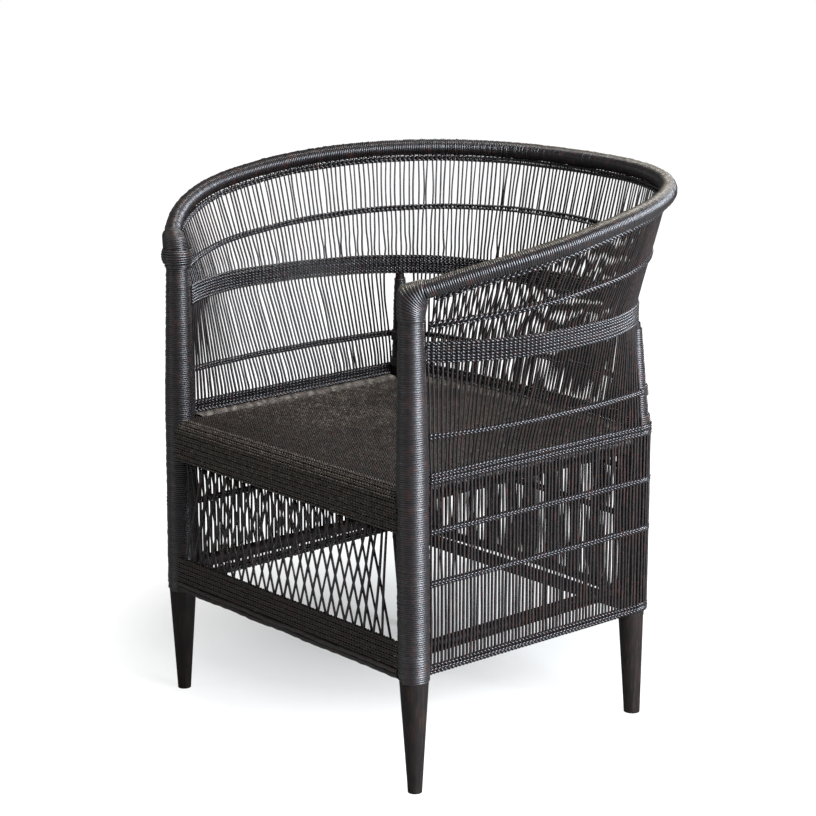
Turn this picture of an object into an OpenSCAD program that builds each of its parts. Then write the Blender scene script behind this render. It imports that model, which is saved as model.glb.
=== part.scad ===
// Armchair of stained hardwood posts and woven cane.
// The wall is a row of upright cane stakes held by twined rows of cane.
// Millimetres. +Z is up, the chair faces -Y, X = 0 is its plane of symmetry,
// and the origin lies on the floor under the middle of the whole chair.

/* [Front posts] */
// Half the distance between the front feet, centre to centre
front_foot_x = 259; // [230:1:300]
// Half the distance between the tops of the front posts
front_top_x = 250.5; // [225:0.5:290]
// Radius of a front post at the floor
front_foot_r = 9.5; // [8:0.5:14]
// Radius of a front post at its thickest
front_post_r = 19.5; // [16:0.5:21]
// Radius of a front post at its top
front_top_r = 14.5; // [12:0.5:18]

/* [Rear posts] */
// Half the distance between the rear posts, centre to centre
rear_post_x = 246; // [225:1:255]
// Distance of the rear posts behind the front posts
rear_post_y = 421; // [380:1:460]
// Radius of a rear post at the floor
rear_foot_r = 11.5; // [9:0.5:14]
// Radius of a rear post at its thickest
rear_post_r = 18.5; // [15:0.5:20]
// Distance of a rear foot behind its post
rear_splay = 7; // [0:0.5:12]

/* [Binding] */
// Thickness of the cane that is wound round the posts and the rail
binding_t = 2.2; // [1.5:0.1:3]
// Height at which the binding of the front posts starts
binding_z = 154; // [140:1:155]

/* [Top rail] */
// Radius of the bent wooden core of the rail
rail_core_r = 10.2; // [8:0.2:12]
// Height of the middle of the rail at the front posts
rail_front_z = 667; // [660:1:700]
// Rise of the rail from its front ends to the middle of the back
rail_rise = 101; // [60:1:125]
// Half the greatest width of the rail, to its middle
rail_half_w = 370; // [350:1:390]
// Distance from the front posts back to the widest place of the rail
rail_wide_y = 189; // [165:1:210]
// Distance from the front posts to the middle of the back of the rail
rail_back_y = 534; // [515:1:560]

/* [Woven wall] */
// Diameter of a stake
stake_d = 3.4; // [2.6:0.1:3.6]
// Distance between stakes, measured along the skirt
stake_pitch = 6.3; // [5.5:0.1:9]
// Diameter of a twined cane
twine_d = 3; // [2:0.1:3.4]
// Distance between twined rows
row_pitch = 4; // [3.2:0.1:4.4]
// Half the width of the skirt at the front posts
skirt_front_x = 261; // [250:1:270]
// Bulge of the back of the skirt behind the rear corners
skirt_bulge = 19; // [10:1:25]
// Half the greatest width of the wall at the waist band
waist_half_w = 312; // [290:1:325]
// Distance from the front posts back to the widest place of the waist
waist_wide_y = 176; // [150:1:200]
// Distance from the front posts to the middle of the back at the waist
waist_back_y = 494; // [478:1:510]
// Height of the middle of the waist band
waist_z = 589; // [583:1:595]
// Height of the twined rows round the arms, between seat and waist
arm_row_z = 479; // [465:1:500]
// Height of the twined rows just above the seat
seat_row_z = 424; // [422:1:428]
// Height of the upper twined rows under the seat
upper_row_z = 352; // [330:1:370]
// Height of the lower twined rows under the seat
lower_row_z = 281; // [250:1:310]
// Height of the border at the foot of the wall
border_z = 165; // [160:1:172]

/* [Seat] */
// Height of the top of the seat
seat_z = 413; // [400:1:414]
// Thickness of the seat weave
seat_t = 7; // [5:0.5:10]
// Radius of the seat rails
seat_rail_r = 11; // [9:0.5:13]
// Height of the lower edge of the apron
apron_z = 352; // [330:1:365]
// Thickness of the woven front panels
panel_t = 8; // [7:0.5:10]

/* [Front lattice] */
// Top of the lower front panel
panel_top_z = 208; // [195:1:225]
// Bottom of the lower front panel
panel_bottom_z = 171.5; // [171:0.5:180]
// Distance between the canes of the lattice
lattice_pitch = 19; // [14:0.5:30]
// Sideways run of a lattice cane for each millimetre of rise
lattice_slope = 0.317; // [0.2:0.01:0.45]
// Diameter of a lattice cane
lattice_d = 3; // [2:0.1:3.2]

/* [Stretchers] */
// Height of the side stretchers
side_stretcher_z = 191; // [185:1:230]
// Height of the rear stretcher
rear_stretcher_z = 160; // [155:1:164]
// Radius of the side and rear stretchers
stretcher_r = 9.5; // [7:0.5:10]
// Radius of the front stretcher, which edges the lower front panel
front_stretcher_r = 7.5; // [6:0.5:8]

/* [Hidden] */
gap = 0.3;             // running clearance between neighbouring pieces
wood = "#2b211d";
cane = "#1f1a1c";
seat_cane = "#3b332c";
$fn = 48;

function unit(v) = v / norm(v);
function mix(a, b, t) = a + t * (b - a);
function upright(p, z) = [p.x, p.y, z];
function side(p, m) = [m * p.x, p.y, p.z];

// Front posts: straight, leaning in a little, thickest from the binding up to the seat
rail_r = rail_core_r + gap + binding_t;
front_post_h = rail_front_z - rail_r - gap;
post_thick_z = seat_z + 27;
lashing_h = 32;
function front_x(z) = mix(front_foot_x, front_top_x, z / front_post_h);
function front_axis(z) = [front_x(z), 0, z];
function front_r(z) =
    z < binding_z ? mix(front_foot_r, front_post_r, max(z, 0) / binding_z) :
    z < post_thick_z ? front_post_r :
    mix(front_post_r, front_top_r, (z - post_thick_z) / (front_post_h - post_thick_z));
front_bind_r = front_post_r + binding_t;

// Rows of twined cane round the wall
stake_r = stake_d / 2;
twine_r = twine_d / 2;
twine_off = stake_r + gap + twine_r;
waist_rows = 7;
seat_rows = 4;
border_rows = 3;
waist_low = waist_z - waist_rows * row_pitch / 2 - 1;
waist_high = waist_z + waist_rows * row_pitch / 2 + 1;
stake_foot = border_z - border_rows * row_pitch / 2 - 1;

// Rear posts: splayed feet, upright and thickest under the seat, then leaning with the
// wall and tapered to a point under the waist band
rear_thick_z = rear_stretcher_z - stretcher_r - 1;
rear_bind_z = seat_row_z + seat_rows * row_pitch / 2 + 1;
rear_tip_r = 6.5;
function rear_axis(z) = [rear_post_x, rear_post_y, z];

// Skirt: a straight side, an arc of stakes laid on the rear post and a shallow arc
// across the back
wall_front_y = front_bind_r + 2 * gap;
corner_r = rear_post_r + gap + stake_r;
corner_c = [rear_post_x, rear_post_y];
side_dir = let (d = corner_c - [skirt_front_x, wall_front_y], l = norm(d),
    k = asin(corner_r / l), a = atan2(d.y, d.x) - k) [cos(a), sin(a)];
side_out = [side_dir.y, -side_dir.x];
corner_in = corner_c + corner_r * side_out;
side_len = norm(corner_in - [skirt_front_x, wall_front_y]);
back_r = (pow(rear_post_x, 2) + pow(skirt_bulge, 2)) / (2 * skirt_bulge) + corner_r;
back_cy = rear_post_y + skirt_bulge + corner_r - back_r;
corner_a0 = atan2(side_out.y, side_out.x);
corner_a1 = atan2(rear_post_y - back_cy, rear_post_x);
corner_len = corner_r * (corner_a1 - corner_a0) * PI / 180;
back_len = back_r * (90 - corner_a1) * PI / 180;
skirt_len = side_len + corner_len + back_len;

// Point of the skirt at the distance d along it from the front post
function skirt(d) =
    d < side_len ? [skirt_front_x, wall_front_y] + d * side_dir :
    d < side_len + corner_len ?
        let (a = corner_a0 + (d - side_len) / corner_r * 180 / PI)
            corner_c + corner_r * [cos(a), sin(a)] :
        let (a = corner_a1 + (d - side_len - corner_len) / back_r * 180 / PI)
            [back_r * cos(a), back_cy + back_r * sin(a)];

// Waist and rail: two superellipse quarters that meet at the widest place.
// |x/a|^p + |y/b|^p = 1, with a softer power in front than behind.
waist_front_p = 1.8;
waist_p = 2.7;
rail_front_p = 2;
rail_p = 2.3;
// Rail and upper rows rise as 1 - (1 - f)^p, steeply at the arms and level at the back
rise_p = 3;
upper_rise_p = 1.9;
function quarter(a, b, p, t) = [a * pow(cos(t), 2 / p), b * pow(sin(t), 2 / p)];
function front_depth(a, soft, x0, y) = y / pow(1 - pow(x0 / a, soft), 1 / soft);
function plan(a, wide_y, back_y, soft, p, x0, y0) =
    let (c = front_depth(a, soft, x0, wide_y - y0))
    concat([for (t = [90:-1.5:0]) let (q = quarter(a, c, soft, t))
            if (wide_y - q.y > y0 + 0.5) [q.x, wide_y - q.y]],
        [for (t = [1.5:1.5:90]) let (q = quarter(a, back_y - wide_y, p, t)) [q.x, wide_y + q.y]]);
function run(pts) = [for (i = 0, s = 0; i < len(pts);
    s = s + (i + 1 < len(pts) ? norm(pts[i + 1] - pts[i]) : 0), i = i + 1) s];
function table(pts, k) = let (s = run(pts), l = s[len(s) - 1])
    [for (i = [0:len(pts) - 1]) [s[i] / l, pts[i][k]]];
waist_front = [front_top_x + 2, wall_front_y];
waist_pts = concat([waist_front],
    plan(waist_half_w, waist_wide_y, waist_back_y, waist_front_p, waist_p, waist_front.x,
        waist_front.y));
rail_end = [front_top_x + 4, -5];
rail_pts = concat([rail_end],
    plan(rail_half_w, rail_wide_y, rail_back_y, rail_front_p, rail_p, rail_end.x,
        rail_end.y));
waist_tx = table(waist_pts, 0);
waist_ty = table(waist_pts, 1);
rail_tx = table(rail_pts, 0);
rail_ty = table(rail_pts, 1);
function waist(f) = [lookup(f, waist_tx), lookup(f, waist_ty)];
// The wall meets the rail behind the front post, rail_skip of the way along it
rail_skip = 0.045;
function rail_at(f) = [lookup(f, rail_tx), lookup(f, rail_ty),
    rail_front_z + rail_rise * (1 - pow(1 - f, rise_p))];
function rail(f) = rail_at(rail_skip + (1 - rail_skip) * f);

// The wall rises upright to the rows above the seat, leans out to the waist, is upright
// in the waist band and leans out again to the rail. f is the fraction of the way from
// a front post to the middle of the back.
bend_z = rear_bind_z + 3;
function wall(f, z) = let (s = skirt(f * skirt_len), w = waist(f))
    z < bend_z ? upright(s, z) :
    z < waist_low ? mix(upright(s, bend_z), upright(w, waist_low),
        (z - bend_z) / (waist_low - bend_z)) :
    z < waist_high ? upright(w, z) :
    mix(upright(w, waist_high), rail(f), (z - waist_high) / (rail(f).z - waist_high));
corner_f0 = side_len / skirt_len;
corner_f1 = (side_len + corner_len) / skirt_len;
rear_tip = wall((corner_f0 + corner_f1) / 2, waist_low) + [0, 0, 1 - gap];

// Stakes, at even distances along the skirt
stakes_half = floor(skirt_len / stake_pitch);
function stake_at(i) = (i + 0.5) / stakes_half;
// Upper end of a stake, just short of the rail
function stake_top(f) = let (d = unit(rail(f) - wall(f, waist_high)),
    t = unit(rail(min(f + 0.01, 1)) - rail(max(f - 0.01, 0))))
    rail(f) - (rail_r + 2 * gap) / sqrt(1 - pow(d * t, 2)) * d;

// Seat frame and its wrapping of cane
roll_r = seat_rail_r + gap + binding_t;
seat_roll_z = seat_z + 2 - roll_r;
seat_side_x0 = skirt_front_x - stake_r - 2 * gap - roll_r;
seat_side_x1 = rear_post_x + 4;
seat_back_r = back_r - stake_r - 2 * gap - roll_r;
front_rail_z = seat_z - seat_t - gap - seat_rail_r;
front_roll_r = seat_rail_r + gap + seat_t;

// Front panels
panel_y = -front_roll_r;
panel_mid_y = panel_y + panel_t / 2;
front_stretcher_z = panel_bottom_z - gap - front_stretcher_r;

// Canes of the lattice leave the lower panel in pairs. Towards the post that it leans
// to, a cane stands steeper.
lattice_pair = 5.4;
tilt_room = 0.5;
lattice_half_w = front_x(apron_z) - front_bind_r - lattice_d;
lattice_run = lattice_slope * (apron_z - panel_top_z);
lattice_count = floor(lattice_half_w / lattice_pitch) + 1;
function leaned(x) = x < lattice_half_w - 2 * lattice_run ? x + lattice_run :
    (x + lattice_half_w) / 2;

// Rod from p to q, of radius r or tapering from r to r2
module rod(p, q, r, r2 = undef) {
    d = q - p;
    translate(p) rotate([0, acos(d.z / norm(d)), atan2(d.y, d.x)])
        cylinder(h = norm(d), r1 = r, r2 = is_undef(r2) ? r : r2);
}

// Solid carried along path, whose stations are [point, outward, upward], with a
// section of points [out, up]
module carried(path, section) {
    n = len(section);
    last = (len(path) - 1) * n;
    points = [for (s = path, q = section) s[0] + q[0] * s[1] + q[1] * s[2]];
    walls = [for (i = [0:len(path) - 2], j = [0:n - 1])
        let (a = i * n + j, b = i * n + (j + 1) % n)
        each [[a, b, b + n], [a, b + n, a + n]]];
    ends = [[for (j = [n - 1:-1:0]) j], [for (j = [0:n - 1]) last + j]];
    polyhedron(points, concat(walls, ends));
}

// Stations of the right side, front to back, then those of the left side, back to front
function both_ways(right, left) = concat(right, [for (i = [len(left) - 2:-1:0]) left[i]]);

// The pieces are drawn with Y = 0 at the front posts. This brings them to the middle.
middle_y = (rail_back_y + rail_r - front_bind_r) / 2;
module placed() {
    translate([0, -middle_y, 0]) children();
}

module mirrored(m) {
    if (m < 0) mirror([1, 0, 0]) children();
    else children();
}

// Posts

// Solid turned round the axis of a right front post. profile lists [radius, height].
module turned(profile) {
    k = norm([front_foot_x - front_top_x, front_post_h]) / front_post_h;
    translate(front_axis(0)) rotate([0, atan2(front_top_x - front_foot_x, front_post_h), 0])
        rotate_extrude() polygon([for (q = profile) [q[0], k * q[1]]]);
}

// Outline of a front post from z0 up to z1, grown by t
function post_line(z0, z1, t) = [for (z = [z0, binding_z, post_thick_z, z1])
    if (z >= z0 && z <= z1 && (z == z0 || z == z1 || (z > z0 + 1 && z < z1 - 1))) [front_r(z) + t, z]];
function reversed(list) = [for (i = [len(list) - 1:-1:0]) list[i]];

// Everything under the floor, so that the feet stand flat
module under_floor() {
    translate([-front_foot_x * 2, -front_foot_x, -20]) cube([front_foot_x * 4, front_foot_x * 4, 20]);
}

module front_post(m) {
    color(wood) mirrored(m) difference() {
        turned(concat([[0, -1]], post_line(-1, front_post_h, 0), [[0, front_post_h]]));
        under_floor();
    }
}

module front_post_binding(m) {
    z1 = front_post_h - lashing_h - gap;
    color(cane) mirrored(m)
        turned(concat(post_line(binding_z, z1, binding_t), reversed(post_line(binding_z, z1, gap))));
}

// Collar of cane that ties the end of the rail to the top of the post
module rail_lashing(m) {
    z0 = front_post_h - lashing_h;
    widest = front_top_r + 3 * binding_t;
    outside = [[front_r(z0) + binding_t, z0], [widest, z0 + lashing_h / 2],
        [widest - binding_t, front_post_h]];
    color(cane) mirrored(m) turned(concat(outside, reversed(post_line(z0, front_post_h, gap))));
}

// Leaning upper length of a right rear post, grown by t
module rear_lean(t) {
    foot = rear_axis(rear_bind_z);
    d = unit(rear_tip - foot);
    rod(foot - 4 * d, rear_tip, rear_post_r - 1.2 + t, rear_tip_r + t);
}

module rear_post(m) {
    foot = rear_axis(0) + [0, rear_splay, 0];
    d = unit(rear_axis(rear_thick_z) - foot);
    color(wood) mirrored(m) difference() {
        union() {
            rod(foot - d, rear_axis(rear_thick_z) + 2 * d, rear_foot_r, rear_post_r - 0.5);
            rod(rear_axis(rear_thick_z), rear_axis(rear_bind_z), rear_post_r);
            rear_lean(0);
        }
        under_floor();
    }
}

module rear_post_binding(m) {
    wide = 4 * rear_post_r;
    color(cane) mirrored(m) difference() {
        rear_lean(binding_t);
        rear_lean(gap);
        translate(rear_tip - [0, 0, 8]) cylinder(h = wide, r = wide);
        translate(rear_axis(rear_bind_z + gap - wide)) cylinder(h = wide, r = wide);
    }
}

// Cuts that end a cross piece at the four posts
module post_cuts() {
    z1 = front_post_h - lashing_h;
    for (m = [-1, 1]) mirrored(m) {
        turned(concat([[0, binding_z]], post_line(binding_z, z1, binding_t + gap), [[0, z1]]));
        rod(rear_axis(rear_thick_z), rear_axis(rear_bind_z), rear_post_r + gap);
    }
}

// Rail

rail_steps = 26;
rail_sides = 12;
function ring(r, sides) = [for (i = [0:sides - 1]) r * [cos(i * 360 / sides), sin(i * 360 / sides)]];
function rail_station(f, m) = let (t = unit(rail_at(min(f + 0.01, 1)) - rail_at(max(f - 0.01, 0))),
    o = unit(cross(t, [0, 0, 1])), u = cross(o, t))
    [side(rail_at(f), m), side(o, m), side(u, m)];
rail_path = both_ways([for (i = [0:rail_steps]) rail_station(i / rail_steps, 1)],
    [for (i = [0:rail_steps]) rail_station(i / rail_steps, -1)]);

module top_rail() {
    color(wood) carried(rail_path, ring(rail_core_r, rail_sides));
}

// Hollow round the rail: an outer and an inner wall, joined by a flat ring at each end
module top_rail_binding() {
    n = rail_sides;
    m = len(rail_path);
    points = [for (r = [rail_r, rail_core_r + gap], s = rail_path, q = ring(r, n))
        s[0] + q[0] * s[1] + q[1] * s[2]];
    outer = [for (i = [0:m - 2], j = [0:n - 1]) let (k = (j + 1) % n)
        [i * n + j, i * n + k, (i + 1) * n + k, (i + 1) * n + j]];
    inner = [for (w = outer) [for (i = [3:-1:0]) w[i] + m * n]];
    e = (m - 1) * n;
    front = [for (j = [0:n - 1]) let (k = (j + 1) % n) [j + m * n, k + m * n, k, j]];
    end = [for (j = [0:n - 1]) let (k = (j + 1) % n) [e + j, e + k, e + k + m * n, e + j + m * n]];
    color(cane) polyhedron(points, concat(outer, inner, front, end));
}

// Seat

module seat_side_rod(m, r) {
    mirrored(m) rod([seat_side_x0, 0, seat_roll_z], [seat_side_x1, rear_post_y, seat_roll_z], r);
}

module seat_rail_front() {
    color(wood) difference() {
        rod([-front_foot_x, 0, front_rail_z], [front_foot_x, 0, front_rail_z], seat_rail_r);
        post_cuts();
    }
}

module seat_rail_side(m) {
    color(wood) difference() {
        seat_side_rod(m, seat_rail_r);
        post_cuts();
    }
}

module seat_edge_side(m) {
    color(seat_cane) difference() {
        seat_side_rod(m, roll_r);
        seat_side_rod(m, seat_rail_r + gap);
        post_cuts();
    }
}

// Carries a section across the back of the seat, from one rear post to the other
arc_fn = 1440;
module seat_back_arc() {
    a = acos(rear_post_x / seat_back_r);
    translate([0, back_cy, seat_roll_z]) rotate([0, 0, a]) rotate_extrude(angle = 180 - 2 * a, $fn = arc_fn)
        translate([seat_back_r, 0]) children();
}

module seat_rail_rear() {
    color(wood) difference() {
        seat_back_arc() circle(seat_rail_r, $fn = 48);
        post_cuts();
    }
}

module seat_edge_rear() {
    color(seat_cane) difference() {
        seat_back_arc() difference() {
            circle(roll_r, $fn = 48);
            circle(seat_rail_r + gap, $fn = 48);
        }
        post_cuts();
    }
}

// Seat sheet, rolled down over the front rail
module seat_weave() {
    half_w = seat_side_x0;
    color(seat_cane) difference() {
        union() {
            translate([0, 0, seat_z - seat_t]) linear_extrude(seat_t) intersection() {
                translate([0, back_cy]) circle(seat_back_r - roll_r - gap, $fn = arc_fn);
                translate([-half_w, 0]) square([2 * half_w, rear_post_y + back_r]);
            }
            translate([-half_w, 0, front_rail_z]) rotate([90, 0, 90])
                linear_extrude(2 * half_w) intersection() {
                    difference() {
                        circle(front_roll_r);
                        circle(seat_rail_r + gap);
                    }
                    translate([-2 * front_roll_r, 0]) square(2 * front_roll_r);
                }
        }
        post_cuts();
        for (m = [-1, 1]) seat_side_rod(m, roll_r + gap);
    }
}

module front_apron() {
    color(cane) difference() {
        translate([-seat_side_x0, panel_y, apron_z])
            cube([2 * seat_side_x0, seat_t, front_rail_z - gap - apron_z]);
        post_cuts();
    }
}

// Lower front

module front_lower_panel() {
    color(cane) difference() {
        translate([-front_foot_x, panel_y, panel_bottom_z])
            cube([2 * front_foot_x, panel_t, panel_top_z - panel_bottom_z]);
        post_cuts();
    }
}

module front_stretcher() {
    color(wood) difference() {
        rod([-front_foot_x, panel_mid_y, front_stretcher_z],
            [front_foot_x, panel_mid_y, front_stretcher_z], front_stretcher_r);
        post_cuts();
    }
}

module lattice_canes(m, y) {
    color(cane) for (i = [-lattice_count:lattice_count]) {
        x = i * lattice_pitch + lattice_pair / 2;
        if (abs(x) < lattice_half_w)
            mirrored(m) rod([x, y, panel_top_z + gap + tilt_room],
                [leaned(x), y, apron_z - gap - tilt_room], lattice_d / 2);
    }
}

// Stretchers

module side_stretcher(m) {
    x0 = skirt_front_x - stake_r - 2 * gap - stretcher_r;
    color(wood) difference() {
        mirrored(m) rod([x0, 0, side_stretcher_z],
            [rear_post_x, rear_axis(side_stretcher_z).y, side_stretcher_z], stretcher_r);
        post_cuts();
    }
}

module rear_stretcher() {
    p = rear_axis(rear_stretcher_z);
    color(wood) difference() {
        rod(side(p, -1), p, stretcher_r);
        post_cuts();
    }
}

// Woven wall

function stakes(f0, f1) = [for (i = [0:stakes_half - 1]) if (stake_at(i) >= f0 && stake_at(i) < f1)
    stake_at(i)];

// Upright stakes of the skirt, from the border up to the rows above the seat
module skirt_stakes(f0, f1, m) {
    color(cane) for (f = stakes(f0, f1)) {
        top = f >= corner_f0 && f <= corner_f1 ? rear_bind_z : bend_z;
        mirrored(m) rod(wall(f, stake_foot), upright(wall(f, 0), top - gap), stake_r);
    }
}

// Station i of a stake that is bent at the points of path. Its foot stands level, and t
// runs along the wall.
stake_sides = 8;
function bent_station(path, i, t) = let (last = len(path) - 1,
    before = unit(path[max(i, 1)] - path[max(i, 1) - 1]),
    after = unit(path[min(i + 1, last)] - path[min(i, last - 1)]),
    n = i == 0 ? [0, 0, 1] : unit(before + after), o = unit(cross(t, n)))
    [path[i], o, cross(o, n)];

// Stakes of the wall, from the rows above the seat up to the rail. Round a rear post
// they start at the waist.
module wall_stakes(f0, f1, m) {
    color(cane) for (f = stakes(f0, f1)) {
        low = wall(f, waist_low);
        path = concat(f >= corner_f0 && f <= corner_f1 ? [low + [0, 0, 1 + gap]] :
            [wall(f, bend_z) + [0, 0, gap], low], [wall(f, waist_high), stake_top(f)]);
        t = waist(min(f + 0.01, 1)) - waist(max(f - 0.01, 0));
        mirrored(m) carried([for (i = [0:len(path) - 1]) bent_station(path, i, upright(t, 0))],
            ring(stake_r, stake_sides));
    }
}

// Section of twined rows inside the stakes (e = -1) or outside them (e = 1), scalloped
// on the face away from the stakes, where the middle rows stand out by a hair
row_swell = 0.01;
function rows(count, e, off = twine_off) = let (h = count * row_pitch / 2,
    face = [for (k = [0:2 * count]) let (swell = row_swell * k * (2 * count - k),
        out = off + (k % 2 == 1 ? twine_r : twine_r / 3) + swell) [e * out, k * row_pitch / 2 - h]],
    low = [e * (off - twine_r), -h], high = [e * (off - twine_r), h])
    e > 0 ? concat(face, [high, low]) : concat([for (i = [2 * count:-1:0]) face[i]], [low, high]);

// Station of the skirt at the distance d along it, on side m
function skirt_station(d, z, m) = let (a = d <= side_len ? corner_a0 :
        d <= side_len + corner_len ? corner_a0 + (d - side_len) / corner_r * 180 / PI :
        corner_a1 + (d - side_len - corner_len) / back_r * 180 / PI)
    [side(upright(skirt(d), z), m), [m * cos(a), sin(a), 0], [0, 0, 1]];
function steps(d0, d1, n) = [for (i = [0:n]) mix(d0, d1, i / n)];
corner_steps = 6;
back_steps = 5;
// The inner rows end at the rear post, this far from its middle
post_room = sqrt(pow(rear_post_r + 2 * gap, 2) - pow(corner_r - twine_off - twine_r, 2));

// Rows on the skirt, level all round
module skirt_rows(z, count) {
    end = side_len + corner_len;
    outer = concat([0], steps(side_len, end, corner_steps),
        [for (i = [1:back_steps]) mix(end, skirt_len, i / back_steps)]);
    back = steps(end + post_room, skirt_len, back_steps);
    inner = rows(count, -1);
    color(cane) {
        carried(both_ways([for (d = outer) skirt_station(d, z, 1)],
            [for (d = outer) skirt_station(d, z, -1)]), rows(count, 1));
        for (m = [-1, 1]) mirrored(m)
            carried([for (d = [0, side_len - post_room]) skirt_station(d, z, 1)], inner);
        carried(both_ways([for (d = back) skirt_station(d, z, 1)],
            [for (d = back) skirt_station(d, z, -1)]), inner);
    }
}

// Station of the wall at fraction f and height z on side m
function wall_station(f, z, m) = let (
    t = unit(wall(min(f + 0.004, 1), z) - wall(max(f - 0.004, 0), z)),
    v = unit(wall(f, z + 2) - wall(f, z - 2)), o = unit(cross(t, v)), u = unit(cross(o, t)))
    [side(wall(f, z), m), side(o, m), side(u, m)];

// The straight lengths between stations cut inside the curve, so the outer rows stand
// off by a little more
chord_room = 0.6;
function row_off(e) = e < 0 ? twine_off : twine_off + chord_room;

twine_steps = 26;
// Rows all round the wall, zs giving the height at each step
module round_rows(count, zs) {
    n = twine_steps;
    color(cane) for (e = [-1, 1])
        carried(both_ways([for (i = [0:n]) wall_station(i / n, zs[i], 1)],
            [for (i = [0:n]) wall_station(i / n, zs[i], -1)]), rows(count, e, row_off(e)));
}

// Height of rows that start at z0 in front and rise by as much as rise to the back
function risen(z0, rise, p) = [for (i = [0:twine_steps])
    z0 + rise * (1 - pow(1 - i / twine_steps, p))];

module rail_twine() {
    z0 = rail(0).z - rail_r - 2 * row_pitch;
    round_rows(2, risen(z0, rail(1).z - rail(0).z, rise_p));
}

// Rows between waist and rail: how far above the waist they start, and how far they rise
upper_gap = 36;
upper_rise = 58;
module upper_twine() {
    round_rows(2, risen(waist_z + upper_gap, upper_rise, upper_rise_p));
}

module waist_band() {
    round_rows(waist_rows, [for (i = [0:twine_steps]) waist_z]);
}

// Rows round one arm and rows across the back end at the rear post's binding
arm_steps = 12;
function arm_room(e) = e < 0 ? 0.6 * rear_post_r / skirt_len : 0;
module arm_twine(m) {
    color(cane) for (e = [-1, 1]) {
        f1 = corner_f0 - arm_room(e);
        mirrored(m) carried([for (i = [0:arm_steps]) wall_station(f1 * i / arm_steps, arm_row_z, 1)],
            rows(2, e, row_off(e)));
    }
}

module arm_twine_back() {
    color(cane) for (e = [-1, 1]) {
        f1 = corner_f1 + arm_room(e);
        carried(both_ways([for (i = [0:arm_steps]) wall_station(mix(f1, 1, i / arm_steps), arm_row_z, 1)],
            [for (i = [0:arm_steps]) wall_station(mix(f1, 1, i / arm_steps), arm_row_z, -1)]),
            rows(2, e, row_off(e)));
    }
}

placed() front_post(-1);  // front_post_left
placed() front_post(1);  // front_post_right
placed() rear_post(-1);  // rear_post_left
placed() rear_post(1);  // rear_post_right
placed() front_post_binding(-1);  // front_post_binding_left
placed() front_post_binding(1);  // front_post_binding_right
placed() rear_post_binding(-1);  // rear_post_binding_left
placed() rear_post_binding(1);  // rear_post_binding_right
placed() top_rail();
placed() top_rail_binding();
placed() rail_lashing(-1);  // rail_lashing_left
placed() rail_lashing(1);  // rail_lashing_right
placed() seat_rail_front();
placed() seat_rail_rear();
placed() seat_rail_side(-1);  // seat_rail_left
placed() seat_rail_side(1);  // seat_rail_right
placed() front_stretcher();
placed() rear_stretcher();
placed() side_stretcher(-1);  // side_stretcher_left
placed() side_stretcher(1);  // side_stretcher_right
placed() seat_weave();
placed() front_apron();
placed() seat_edge_side(-1);  // seat_edge_left
placed() seat_edge_side(1);  // seat_edge_right
placed() seat_edge_rear();
placed() front_lower_panel();
placed()  // lattice_front_canes
    lattice_canes(1, panel_mid_y - lattice_d / 2 - gap / 2);
placed()  // lattice_rear_canes
    lattice_canes(-1, panel_mid_y + lattice_d / 2 + gap / 2);
placed() skirt_stakes(0, corner_f0, -1);  // skirt_stakes_left
placed() skirt_stakes(0, corner_f0, 1);  // skirt_stakes_right
placed() {  // skirt_stakes_back
    skirt_stakes(corner_f0, 1, 1);
    skirt_stakes(corner_f0, 1, -1);
}
placed() wall_stakes(0, corner_f0, -1);  // wall_stakes_left
placed() wall_stakes(0, corner_f0, 1);  // wall_stakes_right
placed() {  // wall_stakes_back
    wall_stakes(corner_f0, 1, 1);
    wall_stakes(corner_f0, 1, -1);
}
placed() rail_twine();
placed() upper_twine();
placed() waist_band();
placed() arm_twine(-1);  // arm_twine_left
placed() arm_twine(1);  // arm_twine_right
placed() arm_twine_back();
placed() skirt_rows(seat_row_z, seat_rows);  // seat_twine
placed() skirt_rows(upper_row_z, 2);  // upper_skirt_twine
placed() skirt_rows(lower_row_z, 2);  // lower_skirt_twine
placed() skirt_rows(border_z, border_rows);  // border_twine
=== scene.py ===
# %% [markdown]
# # Woven cane armchair
# A low tub armchair of dark stained wood and cane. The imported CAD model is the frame: it
# gives every piece its place, and posts and stretchers keep their meshes from it. Its cane
# pieces are plain forms, so this script lays each of them again, strand by strand. A weave
# could be painted or bumped on instead, but then it is flat at its edges and lets no light
# through, and that is where the eye reads a woven chair.

import bpy
import numpy as np
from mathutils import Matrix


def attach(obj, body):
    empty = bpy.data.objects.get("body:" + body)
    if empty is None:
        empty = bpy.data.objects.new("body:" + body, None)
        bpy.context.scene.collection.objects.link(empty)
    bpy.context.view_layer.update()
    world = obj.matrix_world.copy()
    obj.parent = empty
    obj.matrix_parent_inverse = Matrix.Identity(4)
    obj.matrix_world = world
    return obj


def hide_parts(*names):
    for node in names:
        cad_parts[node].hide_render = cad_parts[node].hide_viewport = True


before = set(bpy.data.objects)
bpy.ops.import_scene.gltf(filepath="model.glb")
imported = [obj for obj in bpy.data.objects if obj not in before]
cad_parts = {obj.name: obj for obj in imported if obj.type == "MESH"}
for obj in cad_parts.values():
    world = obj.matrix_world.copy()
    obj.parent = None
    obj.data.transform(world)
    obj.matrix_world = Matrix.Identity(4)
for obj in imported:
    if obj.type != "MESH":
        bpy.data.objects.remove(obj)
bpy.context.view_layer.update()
rng = np.random.default_rng(41)

# %% [markdown]
# ## Plan of the wall
# The cane wall stands upright round the skirt, leans out from the seat to the waist, and
# leans out again to the bent rail. It could be sculpted, but some hundred canes and rows
# have to lie on it, so it is a formula: a point for each way round, f, and height, z. f
# runs from 0 at a front post to 1 in the middle of the back. Sizes are millimetres, with
# X = 0 in the plane of symmetry, Y = 0 at the front posts and Z = 0 on the floor.

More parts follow.
